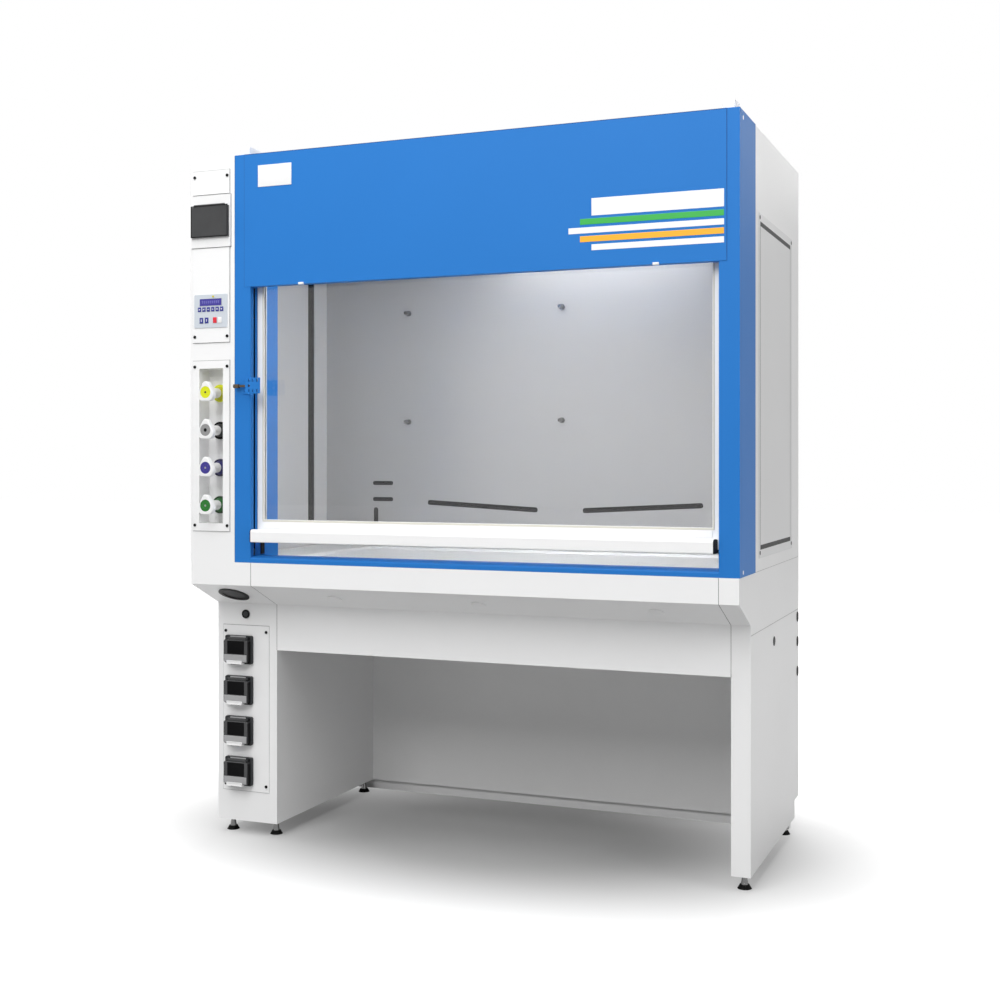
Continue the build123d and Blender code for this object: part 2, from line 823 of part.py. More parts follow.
# Membrane keypad: a foil plate with a window, two rows of raised keys and a signal lamp
def keypad():
    face = -plate - foil_thickness
    foil = raised(Pos(*keypad_middle) * Rectangle(*keypad_size), -plate, foil_thickness)
    foil = chamfer(foil.edges().filter_by(Axis.Y), 3)
    window = raised(Pos(column_middle, keypad_top - display_drop) * Rectangle(*display_size), face, key_rise)
    row = Pos(column_middle, keypad_top - key_row_drop)
    spots = GridLocations(key_pitch, 0, key_count, 1)
    keys = [raised(row * spot * Rectangle(*key_row_size), face, key_rise) for spot in spots]
    for shift in lower_key_shifts:
        place = Pos(column_middle + shift, keypad_top - lower_key_drop)
        keys.append(raised(place * Rectangle(*lower_key_size), face, key_rise))
    return foil + window + keys + rod_back(column_middle + 10, (face - 1.5, face), keypad_top - 7, 3.0)


# Breaker box: a frame with a deep well behind a smoked door hung from its top edge
def breaker_span(size):
    x, z = breaker_middle[0], breaker_middle[1] + breaker_shift
    return (x - size[0] / 2, x + size[0] / 2), (z - size[1] / 2, z + size[1] / 2)


# The outline of the breaker box less a rim, over the given depths
def breaker_slab(rim, depths):
    (x, z), (width, height) = breaker_middle, [size / 2 - rim for size in breaker_size]
    return slab((x - width, x + width), depths, (z - height, z + height))


def door_pivot():
    return -breaker_proud - 5.0, breaker_span(door_size)[1][1] + 4.0


# A front frame, with a tub behind it that stands in the column
def breaker_box():
    well_x, well_z = breaker_span(well_size)
    frame = breaker_slab(0, (-breaker_proud, 0))
    tub = breaker_slab(breaker_rim, (-1, well_depth + plate))
    well = slab(well_x, (-breaker_proud - 1, well_depth), well_z)
    return frame + tub - well + hinge_ears(breaker_span(door_size)[0], door_pivot(), -breaker_proud)


def breaker_door():
    door_x, door_z = breaker_span(door_size)
    lid = slab(door_x, (-breaker_proud - door_thickness, -breaker_proud - running_gap), door_z)
    lid = pan(lid, back_face(lid), lid_wall)
    lid = chamfer(front_face(lid).edges(), 0.8)
    return lid + hinge_knuckle(door_x, door_pivot(), door_z[1])


def breaker_row():
    well_x, well_z = breaker_span(well_size)
    start = breaker_middle[0] - pole_count * pole_width / 2
    low, high, middle_z = well_z[0] + 1.5, well_z[1] - 1.5, sum(well_z) / 2
    profile = [
        (well_depth - sheet, low),
        (pole_face, low),
        (pole_face, low + 18),
        (pole_nose, low + 18),
        (pole_nose, high - 18),
        (pole_face, high - 18),
        (pole_face, high),
        (well_depth - sheet, high),
    ]
    poles = []
    for i in range(pole_count):
        x = (start + i * pole_width, start + (i + 1) * pole_width)
        lever = slab((x[0] + 5, x[1] - 5), (lever_face, pole_nose), (middle_z + 3, middle_z + 13))
        poles.append(drawn_across(profile, (x[0] + 0.2, x[1] - 0.2)) + lever)
    rail = slab((well_x[0] + 2, well_x[1] - 2), (well_depth - sheet, well_depth), (low + 24, high - 24))
    return group(poles + [rail])


def valve_panel():
    face = slab(column_covers_x, (-plate, 0), valve_cover_z)
    liner = slab((niche_x[0] - sheet, niche_x[1] + sheet), (-plate, niche_depth + sheet),
                 (niche_z[0] - sheet, niche_z[1] + sheet))
    return face + liner - slab(niche_x, (-plate - 1, niche_depth), niche_z)


# Valves: a flared base with its spindle, and a rounded three-sided knob that turns on it
def valve_base(z):
    profile = make_face(Polyline(
        (0, 0),
        (disc_radius, 0),
        (bell_radius, bell_depth),
        (spindle_radius, bell_depth),
        (spindle_radius, bell_depth + spindle_length),
        (0, bell_depth + spindle_length),
        close=True,
    ))
    body = revolve(Plane.XZ * profile, axis=Axis.Z)
    return Pos(column_middle, front_y + niche_depth, z) * Rot(90, 0, 0) * body


def valve_knob(z):
    corners = [Pos(x, corner_z) * Circle(radius) for x, corner_z, radius in knob_corners]
    grip = make_hull([edge for corner in corners for edge in corner.edges()])
    body = raised(Pos(column_middle, z) * grip, knob_back, knob_thickness)
    body = chamfer(front_face(body).edges(), 2)
    body -= rod_back(column_middle, (-knob_reach - 1, -knob_reach + 1.2), z, knob_face_radius)
    sleeve = rod_back(column_middle, (knob_back - 1, bell_face - running_gap), z, bell_radius)
    bore_depths = (bell_face - spindle_length - 1, bell_face + 5)
    return body + sleeve - rod_back(column_middle, bore_depths, z, spindle_radius + pin_play)


# Sash: extruded frame, guide shoes that run in the rails, arms that grip the belts
def guide_shoe(z):
    span = (z, z + shoe_height)
    foot = slab((open_left + guide_width + 1, open_left + guide_width + 8),
                (sash_depth + sash_thickness - 1, groove_depth + 4), span)
    lip = slab((open_left + 3.2, open_left + guide_width + 1.5), (groove_depth + 0.5, groove_depth + 4), span)
    return foot + lip


def belt_arm():
    z = (sash_foot + arm_rise, sash_foot + arm_rise + arm_height)
    belt_edges = (belt_x - belt_width / 2 - 1, belt_x + belt_width / 2 + 6)
    root = slab((open_left + stile_gap, open_left + 8), (arm_depth, sash_depth + 1), z)
    arm = slab((belt_edges[0], open_left + 8), (arm_depth, arm_depth + arm_thickness), z)
    back_jaw = slab(belt_edges, (belt_front + belt_thickness + running_gap, arm_depth + 1), z)
    front_jaw = slab(belt_edges, (belt_front - 5, belt_front - running_gap), z)
    bridge = slab((belt_edges[1] - 5.4, belt_edges[1]), (belt_front - 5, arm_depth + 1), z)
    return root + arm + back_jaw + front_jaw + bridge


def sash_frame():
    x = (open_left + stile_gap, open_right - stile_gap)
    depths = (sash_depth, sash_depth + sash_thickness)
    through = (sash_depth - 1, sash_depth + sash_thickness + 1)
    window_x = (x[0] + stile_face, x[1] - stile_face)
    window_z = (sash_foot + handle_height + rail_height, sash_head - rail_height)
    rail_foot = sash_foot + handle_height - 14
    body = slab(x, depths, (sash_foot + 4, sash_head)) - slab(window_x, through, window_z)
    body = body - slab(window_x, through, (sash_foot, rail_foot)) - sash_glass()
    step = slab(window_x, (sash_depth - 3, sash_depth + 1), (window_z[0] - 26, window_z[0] - 10))
    for part in [guide_shoe(sash_foot + 60), guide_shoe(sash_head - 120), belt_arm()]:
        body = body + part + across_opening(part)
    return body + step


def sash_glass():
    inset = stile_gap + stile_face - glass_edge
    z = (sash_foot + handle_height + rail_height - glass_edge, sash_head - rail_height + glass_edge)
    return slab((open_left + inset, open_right - inset), (glass_depth, glass_depth + glass_thickness), z)


# Handle: a hollow bar with a rounded nose and a sloping top, capped at both ends
def handle_bar(x):
    top = sash_foot + handle_height
    front = -handle_reach
    body = drawn_across([
        (sash_depth, sash_foot + 6),
        (sash_depth, top - 5),
        (front + 28, top),
        (front, top),
        (front, sash_foot),
        (sash_depth - 12, sash_foot),
    ], x)
    nose = body.edges().filter_by(Axis.X).group_by(Axis.Y)[0].sort_by(Axis.Z)
    body = fillet(nose[-1], 9)
    nose = body.edges().filter_by(Axis.X).group_by(Axis.Y)[0].sort_by(Axis.Z)
    return fillet(nose[0], 2.5)


def handle_span(inset):
    return (open_left + handle_gap + inset, open_right - handle_gap - inset)


def sash_handle():
    top = sash_foot + handle_height
    hollow = drawn_across([
        (-handle_reach + handle_wall, sash_foot + handle_wall),
        (sash_depth - 14, sash_foot + handle_wall),
        (sash_depth - handle_wall, sash_foot + 9),
        (sash_depth - handle_wall, top - 9),
        (-handle_reach + 28, top - 4),
        (-handle_reach + 9, top - 4),
        (-handle_reach + handle_wall, top - 10),
    ], handle_span(0.0))
    return handle_bar(handle_span(handle_cap)) - hollow


def handle_caps():
    x = handle_span(0.0)
    return on_both_sides(handle_bar((x[0], x[0] + handle_cap)))


def sash_guides():
    z = (sill_top + 4, roof_z - 6)
    rail = slab((open_left, open_left + guide_width), (guide_face, guide_face + guide_depth), z)
    groove = slab((open_left + 2.5, open_left + guide_width + 1), (groove_depth, groove_depth + groove_width),
                  (z[0] - 1, z[1] + 1))
    return on_both_sides(rail - groove)


# Closed belts over top pulleys and bottom idlers
def belt_track(radius):
    middle = Pos(front_y + pulley_depth, (pulley_z + idler_z) / 2)
    return middle * Rot(0, 0, 90) * SlotCenterToCenter(pulley_z - idler_z, 2 * radius)


def belts():
    section = belt_track(pulley_radius + belt_thickness) - belt_track(pulley_radius)
    return on_both_sides(extrude(Plane.YZ.offset(belt_x - belt_width / 2) * section, amount=belt_width))


def pulley_pair(z):
    rim_x = (belt_x - belt_width / 2, belt_x + belt_width / 2)
    wheel = rod_across(rim_x, pulley_depth, z, pulley_radius - running_gap)
    wheel += rod_across((left_post_x, open_left), pulley_depth, z, axle_radius)
    return on_both_sides(wheel)


def counterweights():
    bar = slab((belt_x - weight_width / 2 - 3, belt_x + weight_width / 2 - 3), weight_depths, weight_z)
    foot = slab((belt_x - 12, belt_x + 12), (belt_back + running_gap, weight_depths[0] + 1),
                (weight_z[1] - 60, weight_z[1] - 20))
    return on_both_sides(bar + foot)


# Sash stop: a bracket on the left post, and a bolt pulled out of the sash's way
def stop_bracket():
    leg_x = open_left - 2
    path = [
        (leg_x - stop_foot, -plate),
        (leg_x, -plate),
        (leg_x, stop_plate_depth),
        (leg_x + stop_plate_reach, stop_plate_depth),
    ]
    bracket = drawn_up(folded(path, plate), (stop_z - stop_height / 2, stop_z + stop_height / 2))
    holes = [rod_across((leg_x - 5, leg_x + 5), stop_bolt_depth, stop_z, stop_bolt_radius + pin_play)]
    for dz in (-17, 17):
        holes.append(rod_back(leg_x - 16, (-plate - 1, 1), stop_z + dz, 2.6))
        for x in (leg_x + 14, leg_x + 28, leg_x + 44):
            slot = Pos(x, stop_z + dz) * Rectangle(6, 10)
            holes.append(raised(slot, stop_plate_depth + plate + 2, plate + 4))
    square = Pos(leg_x + 14, stop_z) * Rectangle(7, 8)
    return bracket - holes - raised(square, stop_plate_depth + plate + 2, plate + 4)


def stop_bolt():
    tip = open_left + 5
    tail = tip - stop_bolt_length
    pin = rod_across((tail, tip), stop_bolt_depth, stop_z, stop_bolt_radius)
    grip = rod_across((tail - 5, tail + 14), stop_bolt_depth, stop_z, stop_grip_radius)
    return pin + grip


pieces = {
    "bench_pedestal": bench_pedestal(),
    "bench_right_leg": support((open_right, skin_x)),
    "bench_apron": bench_apron(),
    "bench_knee_back": bench_knee_back(),
    "bench_rear_bar": bench_rear_bar(),
    "bench_nose_left": bench_nose_left(),
    "bench_nose_middle": bench_nose_middle(),
    "bench_nose_right": nose_end((open_right, skin_x)),
    "bench_port_cover": bench_port_cover(),
    "blanking_plugs": blanking_plugs(),
    "foot_pads": foot_pads(),
    "foot_stems": foot_stems(),
    "socket_panel": socket_panel(),
    "socket_boxes": group([socket_box(level) for level in socket_levels]),
    "hood_left_post": hood_left_post(),
    "hood_right_post": hood_right_post(),
    "hood_fascia": hood_fascia(),
    "hood_sill": hood_sill(),
    "hood_roof": hood_roof(),
    "pulley_covers": pulley_covers(),
    "chamber_left_wall": chamber_wall(-1),
    "chamber_right_wall": chamber_wall(1),
    "chamber_ceiling": chamber_ceiling(),
    "chamber_baffle": chamber_baffle(),
    "lattice_pegs": lattice_pegs(),
    "lamp_glass": lamp_glass(),
    "worktop": worktop(),
    "side_panel_left": side_panel(-1),
    "side_panel_right": side_panel(1),
    "access_panels": access_panels(),
    "rear_panel": rear_panel(),
    "rear_grommets": rear_grommets(),
    "service_column": service_column(),
    "column_front": column_front(),
    "column_covers": column_covers(),
    "keypad": keypad(),
    "breaker_box": breaker_box(),
    "breaker_row": breaker_row(),
    "breaker_door": breaker_door(),
    "valve_panel": valve_panel(),
    "valve_bases": group([valve_base(level) for level in valve_levels]),
    "sash_frame": sash_frame(),
    "sash_glass": sash_glass(),
    "sash_handle": sash_handle(),
    "handle_caps": handle_caps(),
    "sash_guides": sash_guides(),
    "belts": belts(),
    "belt_pulleys": pulley_pair(pulley_z),
    "belt_idlers": pulley_pair(idler_z),
    "counterweights": counterweights(),
    "stop_bracket": stop_bracket(),
    "stop_bolt": stop_bolt(),
}
for number, level in enumerate(socket_levels, start=1):
    pieces[f"socket_lid_{number}"] = socket_lid(level)
for number, level in enumerate(valve_levels, start=1):
    pieces[f"valve_knob_{number}"] = valve_knob(level)

os.makedirs("parts", exist_ok=True)
for name, shape in pieces.items():
    export_step(shape, f"parts/{name}.step")
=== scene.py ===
import bpy
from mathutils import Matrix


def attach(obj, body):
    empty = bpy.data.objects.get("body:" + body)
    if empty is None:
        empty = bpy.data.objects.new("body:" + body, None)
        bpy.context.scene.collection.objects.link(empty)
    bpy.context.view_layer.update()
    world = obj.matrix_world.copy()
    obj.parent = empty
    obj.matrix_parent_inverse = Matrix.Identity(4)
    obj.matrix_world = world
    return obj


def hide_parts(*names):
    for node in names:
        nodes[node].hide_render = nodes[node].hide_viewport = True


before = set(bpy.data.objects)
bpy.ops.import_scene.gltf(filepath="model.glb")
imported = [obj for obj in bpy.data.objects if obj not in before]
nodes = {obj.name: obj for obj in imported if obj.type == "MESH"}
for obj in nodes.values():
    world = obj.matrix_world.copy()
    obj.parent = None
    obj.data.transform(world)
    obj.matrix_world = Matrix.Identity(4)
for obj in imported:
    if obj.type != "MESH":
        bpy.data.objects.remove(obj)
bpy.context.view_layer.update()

import bpy
import math
from mathutils import Vector

# Lengths are in metres. The fascia's face is at y = frontY, and depth runs back from it.
frontY = -0.458


# Camera at the photograph's angle
cameraSettings = {
    "place": (1.70165, -4.21923, 1.245),
    "turn": (90.0, 0.0, 21.959),
    "lens": 49.34,
    "shiftY": -0.0393,
}


def addCamera(settings):
    cameraData = bpy.data.cameras.new("photoCamera")
    cameraData.lens = settings["lens"]
    cameraData.sensor_width = 36.0
    cameraData.shift_y = settings["shiftY"]
    cameraData.clip_end = 60.0
    camera = bpy.data.objects.new("photoCamera", cameraData)
    camera.location = settings["place"]
    camera.rotation_euler = [math.radians(angle) for angle in settings["turn"]]
    bpy.context.collection.objects.link(camera)
    bpy.context.scene.camera = camera


addCamera(cameraSettings)
print("camera is in place")


# Small tools for modelling
def deselectAll():
    if bpy.context.mode != "OBJECT":
        bpy.ops.object.mode_set(mode="OBJECT")
    bpy.ops.object.select_all(action="DESELECT")
    bpy.context.view_layer.objects.active = None


def pickPiece(piece):
    deselectAll()
    piece.select_set(True)
    bpy.context.view_layer.objects.active = piece


# Depth behind the fascia's face, as a place along Y
def back(depth):
    return frontY + depth


def span(middle, width):
    return middle - width / 2, middle + width / 2


def widened(ends, margin):
    return ends[0] - margin, ends[1] + margin


def moved(ends, shift):
    return ends[0] + shift, ends[1] + shift


# The two ends on the right side of the hood, or the same on its left side
def mirrored(ends, side):
    return sorted((side * ends[0], side * ends[1]))


hands = (("Left", -1), ("Right", 1))


# A block from its ends across, its depths behind the fascia's face and its levels
def addBlock(name, x, depths, z):
    deselectAll()
    ends = (x, [back(depth) for depth in depths], z)
    bpy.ops.mesh.primitive_cube_add(size=1.0, location=[(low + high) / 2 for low, high in ends])
    block = bpy.context.active_object
    block.name = name
    block.scale = [high - low for low, high in ends]
    bpy.ops.object.transform_apply(location=True, rotation=True, scale=True)
    return block


turnTo = {"user": (90.0, 0.0, 0.0), "side": (0.0, 90.0, 0.0), "up": (0.0, 0.0, 0.0)}


# A round bar centred on middle, its axis towards the user, across or up
def addRound(name, middle, radius, length, facing="user", corners=32):
    deselectAll()
    turn = [math.radians(angle) for angle in turnTo[facing]]
    bpy.ops.mesh.primitive_cylinder_add(vertices=corners, radius=radius, depth=length,
                                        location=middle, rotation=turn)
    disc = bpy.context.active_object
    disc.name = name
    bpy.ops.object.transform_apply(location=True, rotation=True, scale=True)
    return disc


# A round bar towards the user between two depths
def addDisc(name, x, depths, z, radius, corners):
    middle = (x, back(sum(depths) / 2), z)
    return addRound(name, middle, radius, depths[1] - depths[0], corners=corners)


# Edit mode with only the faces selected that pass the test
def pickFaces(piece, test):
    pickPiece(piece)
    bpy.ops.object.mode_set(mode="EDIT")
    bpy.ops.mesh.select_mode(type="FACE")
    bpy.ops.mesh.select_all(action="DESELECT")
    bpy.ops.object.mode_set(mode="OBJECT")
    for face in piece.data.polygons:
        face.select = test(face)
    bpy.ops.object.mode_set(mode="EDIT")


def facesUser(face):
    return face.normal.y < -0.9


def facesBack(face):
    return face.normal.y > 0.9


def facesOut(side):
    return lambda face: face.normal.x * side > 0.9


# Sinks or raises the face towards the user inside a margin, and further steps inside that one
def stepFace(piece, margin, push, test=facesUser, further=()):
    pickFaces(piece, test)
    bpy.ops.mesh.inset(thickness=margin, depth=push)
    for nextMargin, nextPush in further:  # the inner face stays picked
        bpy.ops.mesh.inset(thickness=nextMargin, depth=nextPush)
    bpy.ops.object.mode_set(mode="OBJECT")


def roundEdges(piece, width, steps=2):
    pickPiece(piece)
    bevel = piece.modifiers.new("roundedEdges", "BEVEL")
    bevel.width = width
    bevel.segments = steps
    bevel.limit_method = "ANGLE"
    bevel.angle_limit = math.radians(35)
    bpy.ops.object.modifier_apply(modifier=bevel.name)
    bpy.ops.object.shade_smooth_by_angle(angle=math.radians(35))


# Turns a block into a frame: both broad faces are inset by the rim and bridged
def openFrame(piece, rim, axis="y"):
    pickFaces(piece, lambda face: abs(getattr(face.normal, axis)) > 0.9)
    bpy.ops.mesh.inset(thickness=rim, depth=0.0, use_individual=True)
    bpy.ops.mesh.bridge_edge_loops()
    bpy.ops.object.mode_set(mode="OBJECT")


def copyPiece(piece, name, shift):
    twin = piece.copy()
    twin.data = piece.data.copy()
    twin.name = name
    bpy.context.collection.objects.link(twin)
    pickPiece(twin)
    bpy.ops.transform.translate(value=shift)
    bpy.ops.object.transform_apply(location=True, rotation=True, scale=True)
    return twin


def joinPieces(pieces):
    deselectAll()
    for piece in pieces:
        piece.select_set(True)
    bpy.context.view_layer.objects.active = pieces[0]
    bpy.ops.object.join()
    return pieces[0]


# Copies a piece to each shift, and joins the copies into one
def repeatPiece(piece, shifts):
    return joinPieces([piece] + [copyPiece(piece, piece.name, shift) for shift in shifts])


# From the first of some spots, given across and up, to each of the others
def shiftsFrom(spots):
    return [(x - spots[0][0], 0, z - spots[0][1]) for x, z in spots[1:]]


def dressPiece(piece, material, bodyName="cabinet"):
    deselectAll()
    piece.data.materials.clear()
    piece.data.materials.append(material)
    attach(piece, bodyName)


# A block whose face is stepped and whose edges may be rounded, dressed
def addTrim(name, x, depths, z, step, rounding, material, slotName, bodyName="cabinet", test=facesUser):
    trim = addBlock(name, x, depths, z)
    stepFace(trim, *step, test)
    if rounding:
        roundEdges(trim, rounding)
    dressPiece(trim, material, bodyName)


# Joins an output of one node to an input of another
def wire(tree, start, output, end, entry):
    tree.links.new(start.outputs[output], end.inputs[entry])


def addMath(tree, operation, kind="ShaderNodeMath"):
    node = tree.nodes.new(kind)
    node.operation = operation
    return node


# Effects that several finishes share, each a node group
def newEffect(name, inputs, outputs):
    group = bpy.data.node_groups.new(name, "ShaderNodeTree")
    for label, kind, value in inputs:
        socket = group.interface.new_socket(name=label, in_out="INPUT", socket_type=kind)
        if value is not None:
            socket.default_value = value
    for label, kind in outputs:
        group.interface.new_socket(name=label, in_out="OUTPUT", socket_type=kind)
    entry = group.nodes.new("NodeGroupInput")
    exitNode = group.nodes.new("NodeGroupOutput")
    return group, entry, exitNode


# Slight cloudiness in a finish: colour and roughness drift over the surface
def makeDriftEffect():
    group, entry, leave = newEffect(
        "finishDrift",
        [("Vector", "NodeSocketVector", None), ("Colour", "NodeSocketColor", (0.8, 0.8, 0.8, 1)),
         ("Deeper colour", "NodeSocketColor", (0.7, 0.7, 0.7, 1)), ("Scale", "NodeSocketFloat", 3.0),
         ("Roughness", "NodeSocketFloat", 0.4), ("Spread", "NodeSocketFloat", 0.08)],
        [("Colour", "NodeSocketColor"), ("Roughness", "NodeSocketFloat")])
    cloud = group.nodes.new("ShaderNodeTexNoise")
    cloud.inputs["Detail"].default_value = 3.0
    wire(group, entry, "Vector", cloud, "Vector")
    wire(group, entry, "Scale", cloud, "Scale")
    blend = group.nodes.new("ShaderNodeMix")
    blend.data_type = "RGBA"
    wire(group, cloud, "Fac", blend, "Factor")
    wire(group, entry, "Colour", blend, "A")
    wire(group, entry, "Deeper colour", blend, "B")
    wire(group, blend, "Result", leave, "Colour")
    rough = addMath(group, "MULTIPLY_ADD")
    wire(group, cloud, "Fac", rough, 0)
    wire(group, entry, "Spread", rough, 1)
    wire(group, entry, "Roughness", rough, 2)
    wire(group, rough, "Value", leave, "Roughness")
    return group


# The fine orange peel of powder coat, and the grain of moulded plastic
def makePeelEffect():
    group, entry, leave = newEffect(
        "coatPeel",
        [("Vector", "NodeSocketVector", None), ("Scale", "NodeSocketFloat", 900.0),
         ("Detail", "NodeSocketFloat", 2.0)],
        [("Height", "NodeSocketFloat")])
    grain = group.nodes.new("ShaderNodeTexNoise")
    wire(group, entry, "Vector", grain, "Vector")
    wire(group, entry, "Scale", grain, "Scale")
    wire(group, entry, "Detail", grain, "Detail")
    wire(group, grain, "Fac", leave, "Height")
    return group


# Brushed metal: long fine scratches along the stretched direction
def makeBrushEffect():
    group, entry, leave = newEffect(
        "brushGrain",
        [("Vector", "NodeSocketVector", None), ("Stretch", "NodeSocketVector", (1.0, 1.0, 1.0)),
         ("Colour", "NodeSocketColor", (0.5, 0.5, 0.5, 1)),
         ("Bright colour", "NodeSocketColor", (0.6, 0.6, 0.6, 1)),
         ("Roughness", "NodeSocketFloat", 0.3), ("Spread", "NodeSocketFloat", 0.15)],
        [("Colour", "NodeSocketColor"), ("Roughness", "NodeSocketFloat"), ("Height", "NodeSocketFloat")])
    stretch = addMath(group, "MULTIPLY", "ShaderNodeVectorMath")
    wire(group, entry, "Vector", stretch, 0)
    wire(group, entry, "Stretch", stretch, 1)
    lines = group.nodes.new("ShaderNodeTexNoise")
    lines.inputs["Scale"].default_value = 1.0
    lines.inputs["Detail"].default_value = 4.0
    wire(group, stretch, "Vector", lines, "Vector")
    blend = group.nodes.new("ShaderNodeMix")
    blend.data_type = "RGBA"
    wire(group, lines, "Fac", blend, "Factor")
    wire(group, entry, "Colour", blend, "A")
    wire(group, entry, "Bright colour", blend, "B")
    wire(group, blend, "Result", leave, "Colour")
    rough = addMath(group, "MULTIPLY_ADD")
    wire(group, lines, "Fac", rough, 0)
    wire(group, entry, "Spread", rough, 1)
    wire(group, entry, "Roughness", rough, 2)
    wire(group, rough, "Value", leave, "Roughness")
    wire(group, lines, "Fac", leave, "Height")
    return group


driftEffect = makeDriftEffect()
peelEffect = makePeelEffect()
brushEffect = makeBrushEffect()
print("shared effects are made")


# Finishes
def startMaterial(name):
    material = bpy.data.materials.new(name)
    material.use_nodes = True
    tree = material.node_tree
    shader = tree.nodes["Principled BSDF"]
    place = tree.nodes.new("ShaderNodeTexCoord")
    return material, tree, shader, place


def placeEffect(tree, effect, values):
    node = tree.nodes.new("ShaderNodeGroup")
    node.node_tree = effect
    for label, value in values.items():
        node.inputs[label].default_value = value
    return node


def addBump(tree, shader, heightSocket, strength, distance):
    bump = tree.nodes.new("ShaderNodeBump")
    bump.inputs["Strength"].default_value = strength
    bump.inputs["Distance"].default_value = distance
    tree.links.new(heightSocket, bump.inputs["Height"])
    wire(tree, bump, "Normal", shader, "Normal")


def shade(colour, factor):
    return (colour[0] * factor, colour[1] * factor, colour[2] * factor, 1.0)


# Powder coat, moulded plastic and rubber share this build, with other numbers
def makeCoat(name, look):
    material, tree, shader, place = startMaterial(name)
    drift = placeEffect(tree, driftEffect, {
        "Colour": shade(look["colour"], 1.0),
        "Deeper colour": shade(look["colour"], look["deeper"]),
        "Scale": look["cloud"],
        "Roughness": look["roughness"],
        "Spread": look["spread"],
    })
    peel = placeEffect(tree, peelEffect, {"Scale": look["grain"], "Detail": 2.0})
    wire(tree, place, "Object", drift, "Vector")
    wire(tree, place, "Object", peel, "Vector")
    wire(tree, drift, "Colour", shader, "Base Color")
    wire(tree, drift, "Roughness", shader, "Roughness")
    addBump(tree, shader, peel.outputs["Height"], look["bump"], look["relief"])
    if "gloss" in look:
        shader.inputs["Specular IOR Level"].default_value = look["gloss"]
    if "glow" in look:
        shader.inputs["Emission Color"].default_value = (1, 1, 1, 1)
        shader.inputs["Emission Strength"].default_value = look["glow"]
    return material


def makeBrushed(name, look):
    material, tree, shader, place = startMaterial(name)
    brush = placeEffect(tree, brushEffect, {
        "Stretch": look["stretch"],
        "Colour": shade(look["colour"], look["deeper"]),
        "Bright colour": shade(look["colour"], 1.0),
        "Roughness": look["roughness"],
        "Spread": look["spread"],
    })
    wire(tree, place, "Object", brush, "Vector")
    wire(tree, brush, "Colour", shader, "Base Color")
    wire(tree, brush, "Roughness", shader, "Roughness")
    shader.inputs["Metallic"].default_value = look["metallic"]
    addBump(tree, shader, brush.outputs["Height"], look["bump"], look["relief"])
    return material


coatLook = {"deeper": 0.965, "cloud": 2.5, "roughness": 0.36, "spread": 0.08, "grain": 700.0, "bump": 0.12,
            "relief": 0.0004}
whiteCoat = makeCoat("whitePowderCoat", dict(coatLook, colour=(0.9, 0.9, 0.9)))
coverCoat = makeCoat("coverPowderCoat", dict(coatLook, colour=(0.72, 0.722, 0.725), roughness=0.3))
sashCoat = makeCoat("sashPowderCoat", dict(coatLook, colour=(0.92, 0.92, 0.92), roughness=0.3))
blueCoat = makeCoat("bluePowderCoat", dict(coatLook, colour=(0.018, 0.185, 0.57), deeper=0.95,
                                             roughness=0.48, gloss=0.2))
plasticLook = {"deeper": 0.93, "cloud": 14.0, "roughness": 0.3, "spread": 0.1, "grain": 1500.0, "bump": 0.1,
               "relief": 0.0002}


def makePlastic(name, colour, **other):
    return makeCoat(name, dict(plasticLook, colour=colour, **other))


whitePlastic = makePlastic("whitePlastic", (0.88, 0.88, 0.88))
# Black plastic parts, and painted shade round the breaker door and on the side air slots
blackPlasticAndShade = makePlastic("blackPlasticAndShade", (0.006, 0.006, 0.0065), roughness=0.42, gloss=0.1)
darkPlastic = makePlastic("darkGreyPlastic", (0.04, 0.042, 0.045), roughness=0.4, gloss=0.15)
smokedPlastic = makePlastic("smokedPlastic", (0.055, 0.056, 0.058), roughness=0.2, deeper=0.6,
                            spread=0.05, bump=0.02, gloss=0.35)
greyPlastic = makePlastic("greyPlastic", (0.3, 0.3, 0.31))
keypadFoil = makePlastic("keypadFoil", (0.61, 0.655, 0.71), roughness=0.32, grain=2600.0)
footRubber = makePlastic("footRubber", (0.006, 0.006, 0.006), roughness=0.6, grain=900.0, bump=0.3,
                         gloss=0.08)
beltRubber = makePlastic("beltRubber", (0.02, 0.02, 0.021), roughness=0.65, bump=0.3)
beadRubber = makePlastic("glazingBead", (0.7, 0.68, 0.6), roughness=0.5)
seamGrey = makePlastic("seamGrey", (0.52, 0.52, 0.52), roughness=0.6)
seamBlue = makePlastic("seamBlue", (0.006, 0.06, 0.22), roughness=0.6)
flangeNavy = makePlastic("flangeNavy", (0.008, 0.008, 0.05))
flangeGreen = makePlastic("flangeGreen", (0.002, 0.045, 0.004))
# Grey for seams, and painted shade in the gaps round the screwed plates
seamAndShadeGrey = makePlastic("seamAndShadeGrey", (0.2, 0.2, 0.2), roughness=0.6)
portGrey = makePlastic("portGrey", (0.028, 0.029, 0.03), roughness=0.45, gloss=0.2)
# Black for the socket windows, and painted shade over the baffle slots and behind the chamber wall slots
windowAndShadeBlack = makePlastic("windowAndShadeBlack", (0.003, 0.003, 0.0035), roughness=0.2, spread=0.06, gloss=0.05)
lidGrey = makePlastic("lidGrey", (0.36, 0.36, 0.365), roughness=0.3)
displayViolet = makePlastic("displayViolet", (0.05, 0.04, 0.3), roughness=0.15, bump=0.02)
displayCell = makePlastic("displayCell", (0.11, 0.1, 0.42), roughness=0.3, bump=0.02)
keyNavy = makePlastic("keyNavy", (0.02, 0.026, 0.23), roughness=0.36)
keyRed = makePlastic("keyRed", (0.7, 0.02, 0.04), roughness=0.36)
lampYellow = makePlastic("lampYellow", (0.6, 0.55, 0.02), roughness=0.2)
valveYellow = makePlastic("valveYellow", (0.73, 0.776, 0.007))
valveGrey = makePlastic("valveGrey", (0.28, 0.28, 0.28))
valveViolet = makePlastic("valveViolet", (0.034, 0.024, 0.24))
valveGreen = makePlastic("valveGreen", (0.003, 0.15, 0.007))
